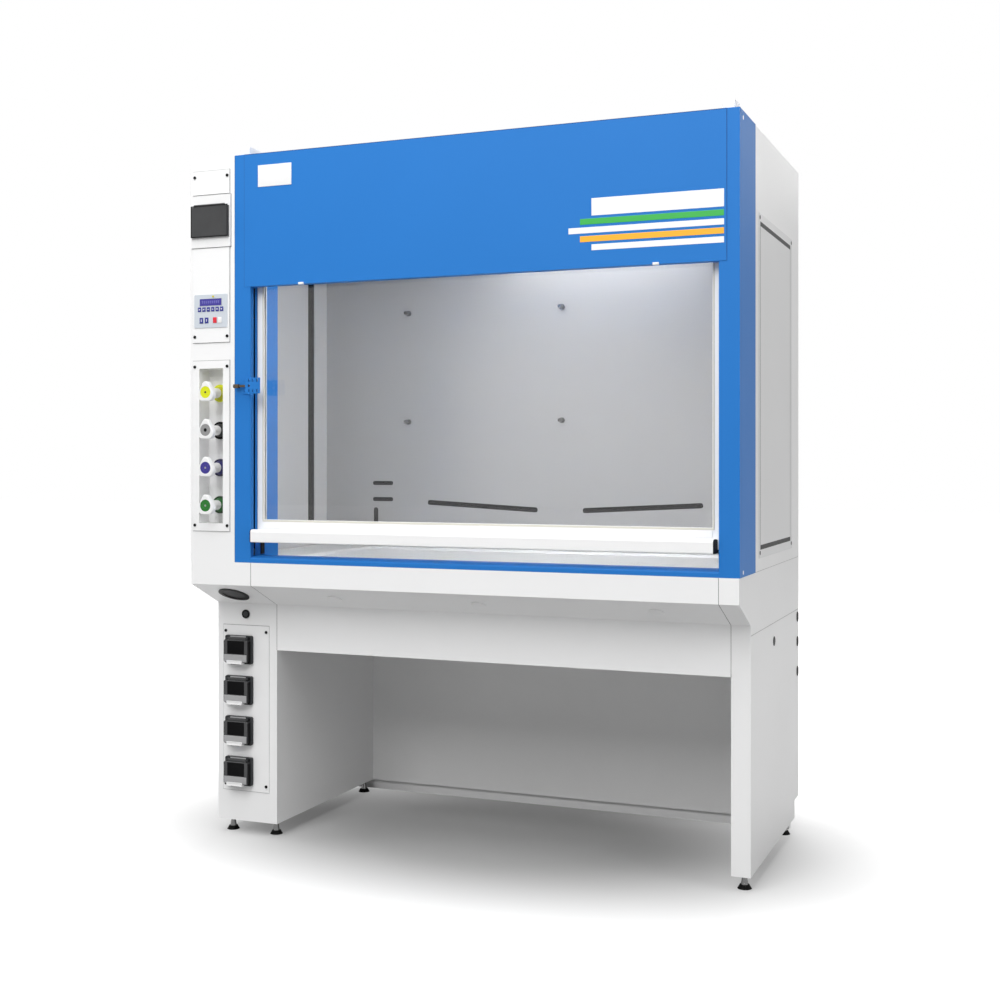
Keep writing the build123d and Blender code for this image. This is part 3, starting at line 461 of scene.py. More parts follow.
bandWhite = makePlastic("bandWhite", (0.9, 0.9, 0.9), grain=2600.0, deeper=0.98)
bandGreen = makePlastic("bandGreen", (0.014, 0.39, 0.042), grain=2600.0, deeper=0.97)
bandOrange = makePlastic("bandOrange", (0.95, 0.43, 0.006), grain=2600.0, deeper=0.97)
weightCoat = makeCoat("weightPrimer", dict(coatLook, colour=(0.2, 0.205, 0.21), roughness=0.55))

# Metals: the grain's stretch runs along X, along Y, up, or evenly
metalLook = {"deeper": 0.92, "roughness": 0.12, "spread": 0.08, "metallic": 1.0, "bump": 0.02,
             "relief": 0.0001}
sheetLook = dict(metalLook, spread=0.12, bump=0.08, relief=0.0003)
evenGrain = (60.0, 60.0, 60.0)


def makeMetal(name, base, stretch, colour, **other):
    return makeBrushed(name, dict(base, stretch=stretch, colour=colour, **other))


pegSteel = makeMetal("pegSteel", metalLook, evenGrain, (0.2, 0.2, 0.2), deeper=0.8, roughness=0.14)
chromed = makeMetal("chromedSteel", metalLook, evenGrain, (0.62, 0.62, 0.63))
brassPin = makeMetal("brassPin", metalLook, (4.0, 1400.0, 1400.0), (0.11, 0.085, 0.06), deeper=0.7,
                     roughness=0.24, spread=0.15, bump=0.05)
bareAluminium = makeMetal("bareAluminium", sheetLook, (1200.0, 1200.0, 5.0), (0.68, 0.68, 0.68),
                          deeper=0.9, roughness=0.32, relief=0.0002)
baffleSteel = makeMetal("baffleSteel", sheetLook, (3.0, 900.0, 900.0), (0.44, 0.44, 0.44), deeper=0.88,
                        roughness=0.3, metallic=0.35)
wallSteel = makeMetal("wallSteel", sheetLook, (900.0, 3.0, 900.0), (0.72, 0.72, 0.72),
                      roughness=0.34, metallic=0.3)
worktopSteel = makeMetal("worktopSteel", sheetLook, (3.0, 900.0, 900.0), (0.86, 0.86, 0.86), deeper=0.94,
                         roughness=0.24, spread=0.1, metallic=0.2, bump=0.06)


def makeGlass():
    material, tree, shader, place = startMaterial("sashGlass")
    drift = placeEffect(tree, driftEffect, {
        "Colour": (0.985, 0.985, 0.985, 1), "Deeper colour": (0.97, 0.97, 0.97, 1), "Scale": 2.0,
        "Roughness": 0.0, "Spread": 0.02})
    wire(tree, place, "Object", drift, "Vector")
    wire(tree, drift, "Colour", shader, "Base Color")
    wire(tree, drift, "Roughness", shader, "Roughness")
    shader.inputs["Transmission Weight"].default_value = 1.0
    shader.inputs["IOR"].default_value = 1.45
    return material


sashGlass = makeGlass()
lampDiffuser = makePlastic("lampDiffuser", (0.93, 0.93, 0.91), roughness=0.35, glow=27.0)

# The valve bases take their colour from their height on the column
valveColours = {
    "levels": (1.404, 1.283, 1.1617),
    "colours": ((0.006, 0.11, 0.012), (0.016, 0.014, 0.13), (0.02, 0.02, 0.02), (0.56, 0.57, 0.012)),
}


def makeValveColour(name, settings):
    material, tree, shader, place = startMaterial(name)
    split = tree.nodes.new("ShaderNodeSeparateXYZ")
    wire(tree, place, "Object", split, "Vector")
    last = None
    for i, level in enumerate(settings["levels"][::-1]):
        above = addMath(tree, "GREATER_THAN")
        above.inputs[1].default_value = level
        wire(tree, split, "Z", above, 0)
        mix = tree.nodes.new("ShaderNodeMix")
        mix.data_type = "RGBA"
        mix.inputs["A"].default_value = shade(settings["colours"][i], 1.0)
        mix.inputs["B"].default_value = shade(settings["colours"][i + 1], 1.0)
        wire(tree, above, "Value", mix, "Factor")
        if last is not None:
            wire(tree, last, "Result", mix, "A")
        last = mix
    drift = placeEffect(tree, driftEffect, {"Scale": 30.0, "Roughness": 0.28, "Spread": 0.1})
    wire(tree, place, "Object", drift, "Vector")
    wire(tree, last, "Result", drift, "Colour")
    wire(tree, last, "Result", drift, "Deeper colour")
    wire(tree, drift, "Colour", shader, "Base Color")
    wire(tree, drift, "Roughness", shader, "Roughness")
    peel = placeEffect(tree, peelEffect, {"Scale": 1500.0, "Detail": 2.0})
    wire(tree, place, "Object", peel, "Vector")
    addBump(tree, shader, peel.outputs["Height"], 0.1, 0.0002)
    return material


valvePlastic = makeValveColour("valvePlastic", valveColours)

nodeFinishes = (
    (blackPlasticAndShade, "bench_port_cover rear_grommets handle_caps"),
    (whitePlastic, "blanking_plugs breaker_box"),
    (footRubber, "foot_pads"),
    (pegSteel, "foot_stems lattice_pegs"),
    (darkPlastic, "socket_boxes sash_guides"),
    (blueCoat, "hood_left_post hood_right_post hood_fascia hood_sill stop_bracket"),
    (wallSteel, "chamber_left_wall chamber_right_wall"),
    (baffleSteel, "chamber_ceiling chamber_baffle"),
    (lampDiffuser, "lamp_glass"),
    (worktopSteel, "worktop"),
    (keypadFoil, "keypad"),
    (greyPlastic, "breaker_row"),
    (smokedPlastic, "breaker_door"),
    (valvePlastic, "valve_bases"),
    (sashCoat, "sash_frame sash_handle"),
    (sashGlass, "sash_glass"),
    (beltRubber, "belts"),
    (bareAluminium, "belt_pulleys belt_idlers"),
    (weightCoat, "counterweights"),
    (brassPin, "stop_bolt"),
)
nodeFinish = {name: finish for finish, names in nodeFinishes for name in names.split()}
for nodeName, nodeObject in nodes.items():
    finish = nodeFinish.get(nodeName, whiteCoat)
    if nodeName.startswith("socket_lid"):
        finish = smokedPlastic
    if nodeName.startswith("valve_knob"):
        finish = whitePlastic
    nodeObject.data.materials.clear()
    nodeObject.data.materials.append(finish)
print("finishes are on the CAD nodes")

# Black screw heads on the column covers, the socket panel and the access panels
screwLook = {
    "radius": 0.0049,
    "height": 0.0024,
    "corners": 24,
    "rimShare": 0.25,
    "rimRise": 0.0003,
    "slotDrop": -0.0012,
    "column": ((-0.882, 2.163), (-0.759, 2.163), (-0.882, 1.646), (-0.759, 1.646),
               (-0.882, 1.549), (-0.759, 1.549), (-0.882, 1.036), (-0.759, 1.036)),
    "columnDepth": -0.003,
    "sockets": ((-0.8665, 0.677), (-0.7105, 0.677), (-0.8665, 0.166), (-0.7105, 0.166)),
    "socketDepth": 0.154,
    "sideDepths": (0.286, 0.806),
    "sideLevels": (0.972, 1.965),
    "sideX": 0.8992,
    "sideHeight": 0.0014,
    "sideRadius": 0.0062,
    "sideStep": (0.00196, -0.0003),
}


def addUserScrew(name, x, depth, z, look):
    place = (x, back(depth) - look["height"] / 2, z)
    head = addRound(name, place, look["radius"], look["height"], corners=look["corners"])
    rim = look["radius"] * look["rimShare"]
    stepFace(head, rim, look["rimRise"], further=[(rim, look["slotDrop"])])
    return head


def addScrews(look):
    for name, spots, depth in (("columnScrews", look["column"], look["columnDepth"]),
                               ("socketPanelScrews", look["sockets"], look["socketDepth"])):
        first = addUserScrew(name, spots[0][0], depth, spots[0][1], look)
        dressPiece(repeatPiece(first, shiftsFrom(spots)), blackPlasticAndShade)
    for hand, side in hands:
        spots = [(depth, z) for depth in look["sideDepths"] for z in look["sideLevels"]]
        place = (side * look["sideX"], back(spots[0][0]), spots[0][1])
        first = addRound("sideScrews" + hand, place, look["sideRadius"], look["sideHeight"],
                         facing="side", corners=look["corners"])
        stepFace(first, *look["sideStep"], facesOut(side))
        shifts = [(0, y, z) for y, _, z in shiftsFrom(spots)]
        dressPiece(repeatPiece(first, shifts), blackPlasticAndShade)


addScrews(screwLook)
print("screws are on")

# Thin grey frames round the plates that are screwed on, painted shade for the shadow in the gaps round
# them: across, depths, levels
shadowGapLook = {
    "margin": 0.0013,
    "rim": 0.005,
    "plates": (
        ("blankPlateShadowGap", (-0.890, -0.751), (-0.0012, 0.0), (2.106, 2.182)),
        ("controlPlateShadowGap", (-0.890, -0.751), (-0.0012, 0.0), (1.627, 1.932)),
        ("valvePlateShadowGap", (-0.890, -0.751), (-0.0012, 0.0), (1.018, 1.568)),
        ("breakerFrameShadowGap", (-0.8945, -0.7465), (-0.001, 0.0), (1.934, 2.102)),
        ("socketPanelShadowGap", (-0.876, -0.701), (0.1552, 0.156), (0.146, 0.697)),
    ),
}


def addShadowGaps(look):
    for name, x, depths, z in look["plates"]:
        gap = addBlock(name, widened(x, look["margin"]), depths, widened(z, look["margin"]))
        openFrame(gap, look["rim"])
        # The grey frame is painted shade
        dressPiece(gap, seamAndShadeGrey)


addShadowGaps(shadowGapLook)

# Keypad: display with a row of blank cells, soft keys with plain marks, a lamp
keypadLook = {
    "window": ((-0.8615, -0.7795), (-0.0064, -0.0049), (1.746, 1.768)),
    "windowStep": (0.0016, -0.0003),
    "cellStart": -0.8505,
    "cellPitch": 0.0075,
    "cellLevel": 1.757,
    "cellSize": (0.0052, 0.0085),
    "cellDepths": (-0.0064, -0.0056),
    "keyX": -0.8205,
    "keyPitch": 0.0168,
    "keyLevel": 1.734,
    "keySize": (0.0125, 0.0145),
    "keyDepths": (-0.0063, -0.0049),
    "keyStep": (0.0012, 0.0003),
    "keyRounding": 0.0004,
    "lowerShifts": (-0.035, -0.015, 0.016, 0.035),
    "lowerLevel": 1.6985,
    "lowerSize": (0.0135, 0.0185),
    "lowerFinishes": (keyNavy, keyNavy, keyRed, whitePlastic),
    "markDepths": (-0.0069, -0.0061),
    "markRounding": 0.0003,
    "upperMark": (0.0058, 0.002),
    "lowerMark": (0.0022, 0.008),
    "arrowTurns": (90, -90, None, None, 0, 180),
    "arrowRadius": 0.0034,
    "arrowDepth": -0.0067,
    "arrowHeight": 0.0006,
    "arrowStep": (0.00068, 0.0001),
    "lampPlace": (-0.8105, -0.0064, 1.775),
    "lampRadius": 0.0033,
    "lampHeight": 0.0024,
    "lampStep": (0.0012, 0.0006),
}


def addKey(name, x, z, size, material, look):
    addTrim(name, span(x, size[0]), look["keyDepths"], span(z, size[1]), look["keyStep"],
            look["keyRounding"], material, "keypad_foil")


def addBar(name, x, z, size, depths, material, look):
    bar = addBlock(name, span(x, size[0]), depths, span(z, size[1]))
    roundEdges(bar, look["markRounding"])
    dressPiece(bar, material)


# A white arrow head on a key, from a three-sided bar
def addArrow(name, x, z, turn, look):
    deselectAll()
    bpy.ops.mesh.primitive_cylinder_add(
        vertices=3, radius=look["arrowRadius"], depth=look["arrowHeight"],
        location=(x, back(look["arrowDepth"]), z), rotation=(math.radians(90), math.radians(turn), 0))
    mark = bpy.context.active_object
    mark.name = name
    bpy.ops.object.transform_apply(location=True, rotation=True, scale=True)
    stepFace(mark, *look["arrowStep"])
    dressPiece(mark, whitePlastic)


def addKeypad(look):
    addTrim("keypadWindow", *look["window"], look["windowStep"], None, displayViolet, "keypad_foil")
    for i in range(9):
        x = look["cellStart"] + i * look["cellPitch"]
        addBar(f"displayCell{i + 1}", x, look["cellLevel"], look["cellSize"], look["cellDepths"],
               displayCell, look)
    for i, turn in enumerate(look["arrowTurns"]):
        x, z = look["keyX"] + (i - 2.5) * look["keyPitch"], look["keyLevel"]
        addKey(f"upperKey{i + 1}", x, z, look["keySize"], keyNavy, look)
        if turn is None:
            addBar(f"upperMark{i + 1}", x, z, look["upperMark"], look["markDepths"], whitePlastic, look)
        else:
            addArrow(f"upperMark{i + 1}", x, z, turn, look)
    for i, shift in enumerate(look["lowerShifts"]):
        x, z = look["keyX"] + shift, look["lowerLevel"]
        addKey(f"lowerKey{i + 1}", x, z, look["lowerSize"], look["lowerFinishes"][i], look)
        if i < 2:
            addBar(f"lowerMark{i + 1}", x, z, look["lowerMark"], look["markDepths"], whitePlastic, look)
    x, depth, z = look["lampPlace"]
    lamp = addRound("keypadLamp", (x, back(depth), z), look["lampRadius"], look["lampHeight"], corners=24)
    stepFace(lamp, *look["lampStep"])
    dressPiece(lamp, lampYellow)


addKeypad(keypadLook)
print("keypad is dressed")

# Valves: each knob has a coloured disc with a ring and a centre, each base a flange behind it
valveLook = {
    "x": -0.8205,
    "levels": (1.465, 1.34367, 1.22234, 1.10101),
    "finishes": (
        (valveYellow, darkPlastic, 1.0, valveYellow),
        (valveGrey, blackPlasticAndShade, 1.7, blackPlasticAndShade),
        (valveViolet, valveGrey, 1.0, flangeNavy),
        (valveGreen, valveGrey, 1.0, flangeGreen),
    ),
    "discRadius": 0.0191,
    "discDepths": (-0.0353, -0.0340),
    "discStep": (0.0012, 0.0002),
    "ringRadius": 0.0108,
    "groove": 0.0006,
    "centreRadius": 0.0034,
    "centreDepths": (-0.0358, -0.0348),
    "centreStep": (0.0009, -0.0002),
    "flangeRadius": 0.0285,
    "flangeDepths": (0.047, 0.0538),
    "flangeStep": (0.004, 0.001),
    "flangeRounding": 0.001,
}


def addValves(look):
    x, groove = look["x"], look["groove"]
    ring = look["discRadius"] - look["discStep"][0] - look["ringRadius"]
    for i, z in enumerate(look["levels"]):
        body = f"valve_knob_{i + 1}"
        discFinish, centreFinish, growth, flangeFinish = look["finishes"][i]
        disc = addDisc(f"knobDisc{i + 1}", x, look["discDepths"], z, look["discRadius"], 48)
        stepFace(disc, *look["discStep"], further=[(ring, 0.0), (groove, -groove), (groove, groove)])
        dressPiece(disc, discFinish, body)
        dot = addDisc(f"knobCentre{i + 1}", x, look["centreDepths"], z, look["centreRadius"] * growth, 24)
        stepFace(dot, *look["centreStep"])
        dressPiece(dot, centreFinish, body)
        flange = addDisc(f"baseFlange{i + 1}", x, look["flangeDepths"], z, look["flangeRadius"], 48)
        stepFace(flange, *look["flangeStep"])
        roundEdges(flange, look["flangeRounding"])
        dressPiece(flange, flangeFinish)


addValves(valveLook)
print("valves are dressed")

# Breaker door: a black rim round the smoked sheet, painted shade along the door's edges
doorShadeLook = {"x": (-0.8905, -0.7505), "depths": (-0.0149, -0.0140), "z": (1.9665, 2.0689), "rim": 0.0032,
            "rounding": 0.0004}


def addDoorEdgeShade(look):
    edge = addBlock("breakerDoorEdgeShade", look["x"], look["depths"], look["z"])
    openFrame(edge, look["rim"])
    roundEdges(edge, look["rounding"])
    dressPiece(edge, blackPlasticAndShade, "breaker_door")


addDoorEdgeShade(doorShadeLook)

# Sockets. The blocks are given across from the lid's middle, by depth and up from the lid's middle;
# then come the step of the face, the rounding, the finish, the slot and whether the lid carries it.
socketLook = {
    "x": -0.811,
    "levels": (0.6165, 0.48183, 0.34716, 0.21249),
    "blocks": (
        ("socketWindow", (-0.031, 0.034), (0.1227, 0.1247), (-0.0125, 0.031), (0.003, -0.0006), 0.0008,
         windowAndShadeBlack, "smoked_plastic", True),
        ("socketLidPlate", (-0.043, 0.043), (0.1225, 0.1247), (-0.038, -0.0145), (0.0025, 0.0006), 0.0007,
         lidGrey, "smoked_plastic", True),
        ("socketLidSide", (0.0448, 0.0466), (0.1257, 0.1408), (-0.036, 0.030), (0.002, 0.0004), None,
         blackPlasticAndShade, "black_plastic", True),
        ("socketLatch", (-0.032, 0.027), (0.1187, 0.138), (-0.0455, -0.0335), (0.003, -0.0015), 0.0012,
         whitePlastic, "white_plastic", True),
        ("socketBar", (-0.030, 0.030), (0.1398, 0.1425), (0.0405, 0.0455), (0.0012, 0.0004), 0.0006,
         lidGrey, "grey_plastic", False),
    ),
    "screwDepth": 0.142,
    "screwRadius": 0.0046,
    "screws": ((-0.041, 0.039), (0.041, 0.039), (-0.041, -0.040), (0.041, -0.040)),
    "pinPlace": (-0.0095, 0.1547, -0.003),
    "pinRadius": 0.0024,
    "pinHeight": 0.0012,
    "pinStep": (0.0006, -0.0006),
    "pinPitch": 0.019,
}


def addSocket(number, z, look):
    middle = look["x"]
    for name, x, depths, rise, step, rounding, finish, slotName, onLid in look["blocks"]:
        test = facesOut(1) if name == "socketLidSide" else facesUser
        addTrim(f"{name}{number}", moved(x, middle), depths, moved(rise, z), step, rounding, finish,
                slotName, f"socket_lid_{number}" if onLid else "cabinet", test)
    spots = look["screws"]
    head = addUserScrew(f"socketScrews{number}", middle + spots[0][0], look["screwDepth"],
                        z + spots[0][1], dict(screwLook, radius=look["screwRadius"]))
    dressPiece(repeatPiece(head, shiftsFrom(spots)), blackPlasticAndShade)
    x, depth, drop = look["pinPlace"]
    pin = addRound(f"socketContacts{number}", (middle + x, back(depth), z + drop), look["pinRadius"],
                   look["pinHeight"], corners=20)
    stepFace(pin, *look["pinStep"])
    dressPiece(repeatPiece(pin, [(look["pinPitch"], 0, 0)]), blackPlasticAndShade)


for number, level in enumerate(socketLook["levels"], 1):
    addSocket(number, level, socketLook)
print("sockets are dressed")

# Fascia: a bare plate, straight coloured bands and two clips on the lower edge
fasciaLook = {
    "plate": ((-0.645, -0.523), (-0.0027, -0.0012), (2.116, 2.185), (0.0015, 0.0003), 0.0006),
    "bands": (
        ("fasciaBandTop", 0.470, (1.951, 2.001), bandWhite),
        ("fasciaBandGreen", 0.435, (1.926, 1.943), bandGreen),
        ("fasciaBandMiddle", 0.400, (1.901, 1.918), bandWhite),
        ("fasciaBandOrange", 0.435, (1.876, 1.893), bandOrange),
        ("fasciaBandFoot", 0.470, (1.851, 1.868), bandWhite),
    ),
    "bandEnd": 0.856,
    "bandDepths": (-0.0019, -0.0012),
    "bandStep": (0.0006, 0.0001),
    "clips": (-0.488, 0.661),
    "clipWidth": 0.018,
    "clip": ((-0.005, 0.0025), (1.7985, 1.806), (0.002, 0.0006), 0.0008),
}


def addFasciaDetails(look):
    addTrim("fasciaPlate", *look["plate"], whitePlastic, "white_plastic")
    for name, start, z, finish in look["bands"]:
        addTrim(name, (start, look["bandEnd"]), look["bandDepths"], z, look["bandStep"], None,
                finish, "white_plastic")
    for i, x in enumerate(look["clips"]):
        addTrim(f"fasciaClip{i + 1}", span(x, look["clipWidth"]), *look["clip"], whitePlastic,
                "white_plastic")


addFasciaDetails(fasciaLook)

# Dark seams beside the fascia and along its top, and caps over the posts' axle bores
blueTrimLook = {
    "seams": (
        ("fasciaSeam1", (-0.6974, -0.6960), (-0.0004, 0.0004), (1.801, 2.2236)),
        ("fasciaSeam2", (0.8630, 0.8644), (-0.0004, 0.0004), (1.801, 2.2236)),
        ("fasciaSeam3", (-0.7330, -0.7319), (-0.0004, 0.0004), (0.9195, 2.2236)),
        ("fasciaTopEdge", (-0.6960, 0.8630), (-0.0017, -0.0012), (2.2222, 2.2239)),
    ),
    "seamStep": (0.0003, 0.0001),
    "capX": 0.8992,
    "capRadius": 0.0075,
    "capHeight": 0.0014,
    "capStep": (0.001, -0.0002),
    "capSpots": ((0.046, 2.204), (0.046, 0.932)),
}


def addBlueTrim(look):
    for seam in look["seams"]:
        addTrim(*seam, look["seamStep"], None, seamBlue, "blue_paint")
    for i, (depth, z) in enumerate(look["capSpots"]):
        cap = addRound(f"axleCap{i + 1}", (look["capX"], back(depth), z), look["capRadius"],
                       look["capHeight"], facing="side", corners=32)
        stepFace(cap, *look["capStep"], facesOut(1))
        dressPiece(cap, blueCoat)


addBlueTrim(blueTrimLook)

# Baffle: black bars over its slots, a little larger than them, painted shade for the dark inside the slots;
# the same on both sides of its middle
slotShadeLook = {
    "depths": (0.8117, 0.8142),
    "axis": 0.0875,
    "slots": (
        ((-0.418, 1.092), (-0.006, 1.070), 0.0178),
        ((-0.640, 1.062), (-0.640, 0.985), 0.0178),
        ((-0.645, 1.162), (-0.577, 1.162), 0.0150),
        ((-0.645, 1.102), (-0.577, 1.102), 0.0150),
    ),
    "roundSteps": 6,
    "roundShare": 0.44,
    "step": (0.0008, 0.0003),
}


# A bar with rounded ends between two points: a block whose four short edges along Y are bevelled
def addSlotShade(name, start, end, width, look):
    deselectAll()
    length = math.hypot(end[0] - start[0], end[1] - start[1]) + width
    turn = math.atan2(end[1] - start[1], end[0] - start[0])
    near, far = [back(depth) for depth in look["depths"]]
    middle = ((start[0] + end[0]) / 2, (near + far) / 2, (start[1] + end[1]) / 2)
    bpy.ops.mesh.primitive_cube_add(size=1.0, location=middle)
    shadeBar = bpy.context.active_object
    shadeBar.name = name
    shadeBar.scale = (length, far - near, width)
    bpy.ops.object.transform_apply(location=False, rotation=False, scale=True)
    bpy.ops.object.mode_set(mode="EDIT")
    bpy.ops.mesh.select_mode(type="EDGE")
    bpy.ops.mesh.select_all(action="DESELECT")
    bpy.ops.object.mode_set(mode="OBJECT")
    corners = shadeBar.data.vertices
    for edge in shadeBar.data.edges:
        along = corners[edge.vertices[0]].co - corners[edge.vertices[1]].co
        edge.select = abs(along.x) + abs(along.z) < 1e-6
    bpy.ops.object.mode_set(mode="EDIT")
    bpy.ops.mesh.bevel(offset=width * look["roundShare"], segments=look["roundSteps"], affect="EDGES")
    bpy.ops.object.mode_set(mode="OBJECT")
    shadeBar.rotation_euler = (0, -turn, 0)
    bpy.ops.object.transform_apply(location=True, rotation=True, scale=True)
    stepFace(shadeBar, *look["step"])
    # The black finish is painted shade
    dressPiece(shadeBar, windowAndShadeBlack)


def addSlotShades(look):
    for i, (start, end, width) in enumerate(look["slots"]):
        addSlotShade(f"slotShadeLeft{i + 1}", start, end, width, look)
        start, end = [(2 * look["axis"] - x, z) for x, z in (start, end)]
        addSlotShade(f"slotShadeRight{i + 1}", start, end, width, look)


addSlotShades(slotShadeLook)

# Chamber walls: a black recessed sheet behind the air slot of each, painted shade for the dark inside the
# slot
wallSlotShadeLook = {"x": (0.8502, 0.8532), "depths": (0.666, 0.725), "z": (0.962, 2.014),
                "step": (0.004, -0.0012)}
for hand, side in hands:
    addTrim("wallSlotShade" + hand, mirrored(wallSlotShadeLook["x"], side), wallSlotShadeLook["depths"], wallSlotShadeLook["z"],
            wallSlotShadeLook["step"], None, windowAndShadeBlack, "black_plastic", test=facesOut(-side))
print("fascia and chamber are dressed")

# Sash: a glazing bead round the glass
beadLook = {"x": (-0.6535, 0.8205), "depths": (0.0378, 0.0465), "z": (1.0495, 1.8365), "rim": 0.0056,
            "rounding": 0.0012}


def addBead(look):
    bead = addBlock("glazingBead", look["x"], look["depths"], look["z"])
    openFrame(bead, look["rim"])
    roundEdges(bead, look["rounding"])
    dressPiece(bead, beadRubber, "sash")


addBead(beadLook)

# Nose of the bench: flap of the port, three blanking caps on the slope, and the pedestal's plug.
# drop and run give the slope, and each step list is the first margin and push, then the next.
noseLook = {
    "x": -0.786,
    "depth": 0.078,
    "level": 0.808,
    "drop": 0.074,
    "run": 0.156,
    "corners": 48,
    "thickness": 0.003,
    "flap": {"radius": 0.0365, "lift": -0.0002, "steps": ((0.004, -0.0008), (0.016, 0.0008)),
             "rounding": 0.0005},
    "cap": {"radius": 0.0236, "lift": 0.0018, "steps": ((0.003, 0.0012), (0.008, 0.0006)),
            "rounding": 0.0012},
    "capSpots": (-0.413, 0.0835, 0.641),
    "plugPlace": (-0.788, 0.735),
    "plugDepths": (0.15005, 0.15355),
    "plugRadius": 0.0148,
    "plugStep": (0.003, -0.001),
    "plugRounding": 0.0007,
    "faceDepths": (0.1497, 0.1519),
    "faceRadius": 0.0088,
    "faceStep": (0.002, -0.0006),
}


# A disc on the slope of the nose; lift moves it out along the slope's normal
def addSlopeDisc(name, x, part, look, material):
    deselectAll()
    slope = math.atan2(look["run"], look["drop"])
    normal = Vector((0, -math.sin(math.pi / 2 - slope), -math.cos(math.pi / 2 - slope)))
    middle = Vector((x, back(look["depth"]), look["level"])) + normal * part["lift"]
    bpy.ops.mesh.primitive_cylinder_add(
        vertices=look["corners"], radius=part["radius"], depth=look["thickness"], location=middle,
        rotation=normal.to_track_quat("Z", "Y").to_euler())
    disc = bpy.context.active_object
    disc.name = name
    bpy.ops.object.transform_apply(location=True, rotation=True, scale=True)
    first, *further = part["steps"]
    stepFace(disc, *first, lambda face: face.normal.dot(normal) > 0.95, further)
    roundEdges(disc, part["rounding"])
    dressPiece(disc, material)


def addNoseFittings(look):
    addSlopeDisc("portFlap", look["x"], look["flap"], look, portGrey)
    for i, x in enumerate(look["capSpots"]):
        addSlopeDisc(f"slopeCap{i + 1}", x, look["cap"], look, whiteCoat)
    x, z = look["plugPlace"]
    plug = addDisc("pedestalPlugRing", x, look["plugDepths"], z, look["plugRadius"], 40)
    stepFace(plug, *look["plugStep"])
    roundEdges(plug, look["plugRounding"])
    dressPiece(plug, blackPlasticAndShade)
    middle = addDisc("pedestalPlugFace", x, look["faceDepths"], z, look["faceRadius"], 32)
    stepFace(middle, *look["faceStep"])
    dressPiece(middle, darkPlastic)


addNoseFittings(noseLook)
print("bench nose is dressed")

# Sides: black strips as painted shade for air slots, thin seams between them, seams of the panels and
# service plugs
sideLook = {
    "slotX": (0.898, 0.8996),
    "slotDepths": (0.2905, 0.7875),
    "slotLevels": (0.988, 1.947),
    "slotWidth": 0.0136,
    "slotStep": (0.0015, 0.0001),
    "lineWidth": 0.0028,
    "lineStep": (0.0006, 0.0001),
    "seamX": (0.898, 0.8984),
    "seams": (((0.1700, 0.9495), 0.919, 0.0014), ((0.1565, 0.9495), 0.741, 0.0018)),
    "seamShare": 0.2,
    "seamRise": 0.0001,
    "plugPlace": (0.8982, 0.512, 0.684),
    "plugRadius": 0.0145,
    "plugHeight": 0.003,
    "plugSteps": ((0.004, -0.0006), (0.003, 0.0004)),
    "plugRounding": 0.0007,
}


def addSideDetails(look):
    for hand, side in hands:
        outward = facesOut(side)
        x = mirrored(look["slotX"], side)
        for i, z in enumerate(look["slotLevels"]):
            # The black strips are painted shade for the air slots
            addTrim(f"airSlotShade{hand}{i + 1}", x, look["slotDepths"], span(z, look["slotWidth"]),
                    look["slotStep"], None, blackPlasticAndShade, "black_plastic", test=outward)
        for i, depth in enumerate(look["slotDepths"]):
            addTrim(f"coverSeam{hand}{i + 1}", x, span(depth, look["lineWidth"]), look["slotLevels"],
                    look["lineStep"], None, seamAndShadeGrey, "grey_plastic", test=outward)
        for i, (depths, z, width) in enumerate(look["seams"]):
            addTrim(f"sideSeam{hand}{i + 1}", mirrored(look["seamX"], side), depths, span(z, width),
                    (width * look["seamShare"], look["seamRise"]), None, seamGrey, "grey_plastic",
                    test=outward)
        plugX, depth, z = look["plugPlace"]
        plug = addRound(f"servicePlug{hand}", (side * plugX, back(depth), z), look["plugRadius"],
                        look["plugHeight"], facing="side", corners=36)
        first, *further = look["plugSteps"]
        stepFace(plug, *first, outward, further)
        roundEdges(plug, look["plugRounding"])
        dressPiece(plug, blackPlasticAndShade)


addSideDetails(sideLook)

# Seams of the bench front: down the nose's band, along its slope and down beside the apron
benchSeamLook = {
    "seams": ((-0.6740, -0.6724), (0.8394, 0.8410)),
    "bandDepths": (-0.0003, 0.004),
    "bandLevels": (0.845, 0.9185),
    "slopeShift": (0, 0.1560, -0.074),
    "apronSeams": (-0.6710, 0.8410),
    "apronWidth": 0.0014,
    "apronDepths": (0.1557, 0.158),
    "apronLevels": (0.620, 0.7705),
    "apronStep": (0.0003, 0.0001),
}


def addBenchSeams(look):
    for i, x in enumerate(look["seams"]):
        band = addBlock(f"noseSeam{i + 1}", x, look["bandDepths"], look["bandLevels"])
        pickFaces(band, lambda face: face.normal.z < -0.9)
        bpy.ops.mesh.extrude_region_move(TRANSFORM_OT_translate={"value": look["slopeShift"]})
        bpy.ops.object.mode_set(mode="OBJECT")
        dressPiece(band, seamAndShadeGrey)
    for i, x in enumerate(look["apronSeams"]):
        addTrim(f"apronSeam{i + 1}", span(x, look["apronWidth"]), look["apronDepths"], look["apronLevels"],
                look["apronStep"], None, seamAndShadeGrey, "grey_plastic")


addBenchSeams(benchSeamLook)

# Duct spigot: a rolled bead near its top, and the screws of its flange
spigotLook = {
    "x": 0.0835,
    "depth": 0.560,
    "beadLevel": 2.290,
    "beadRadius": 0.1246,
    "beadHeight": 0.006,
    "beadThickness": 0.0022,
    "beadRounding": 0.0009,
    "screwCircle": 0.137,
    "screwLevel": 2.2265,
    "screwRadius": 0.005,
    "screwHeight": 0.003,
    "screwStep": (0.0018, -0.001),
    "screwCount": 8,
}


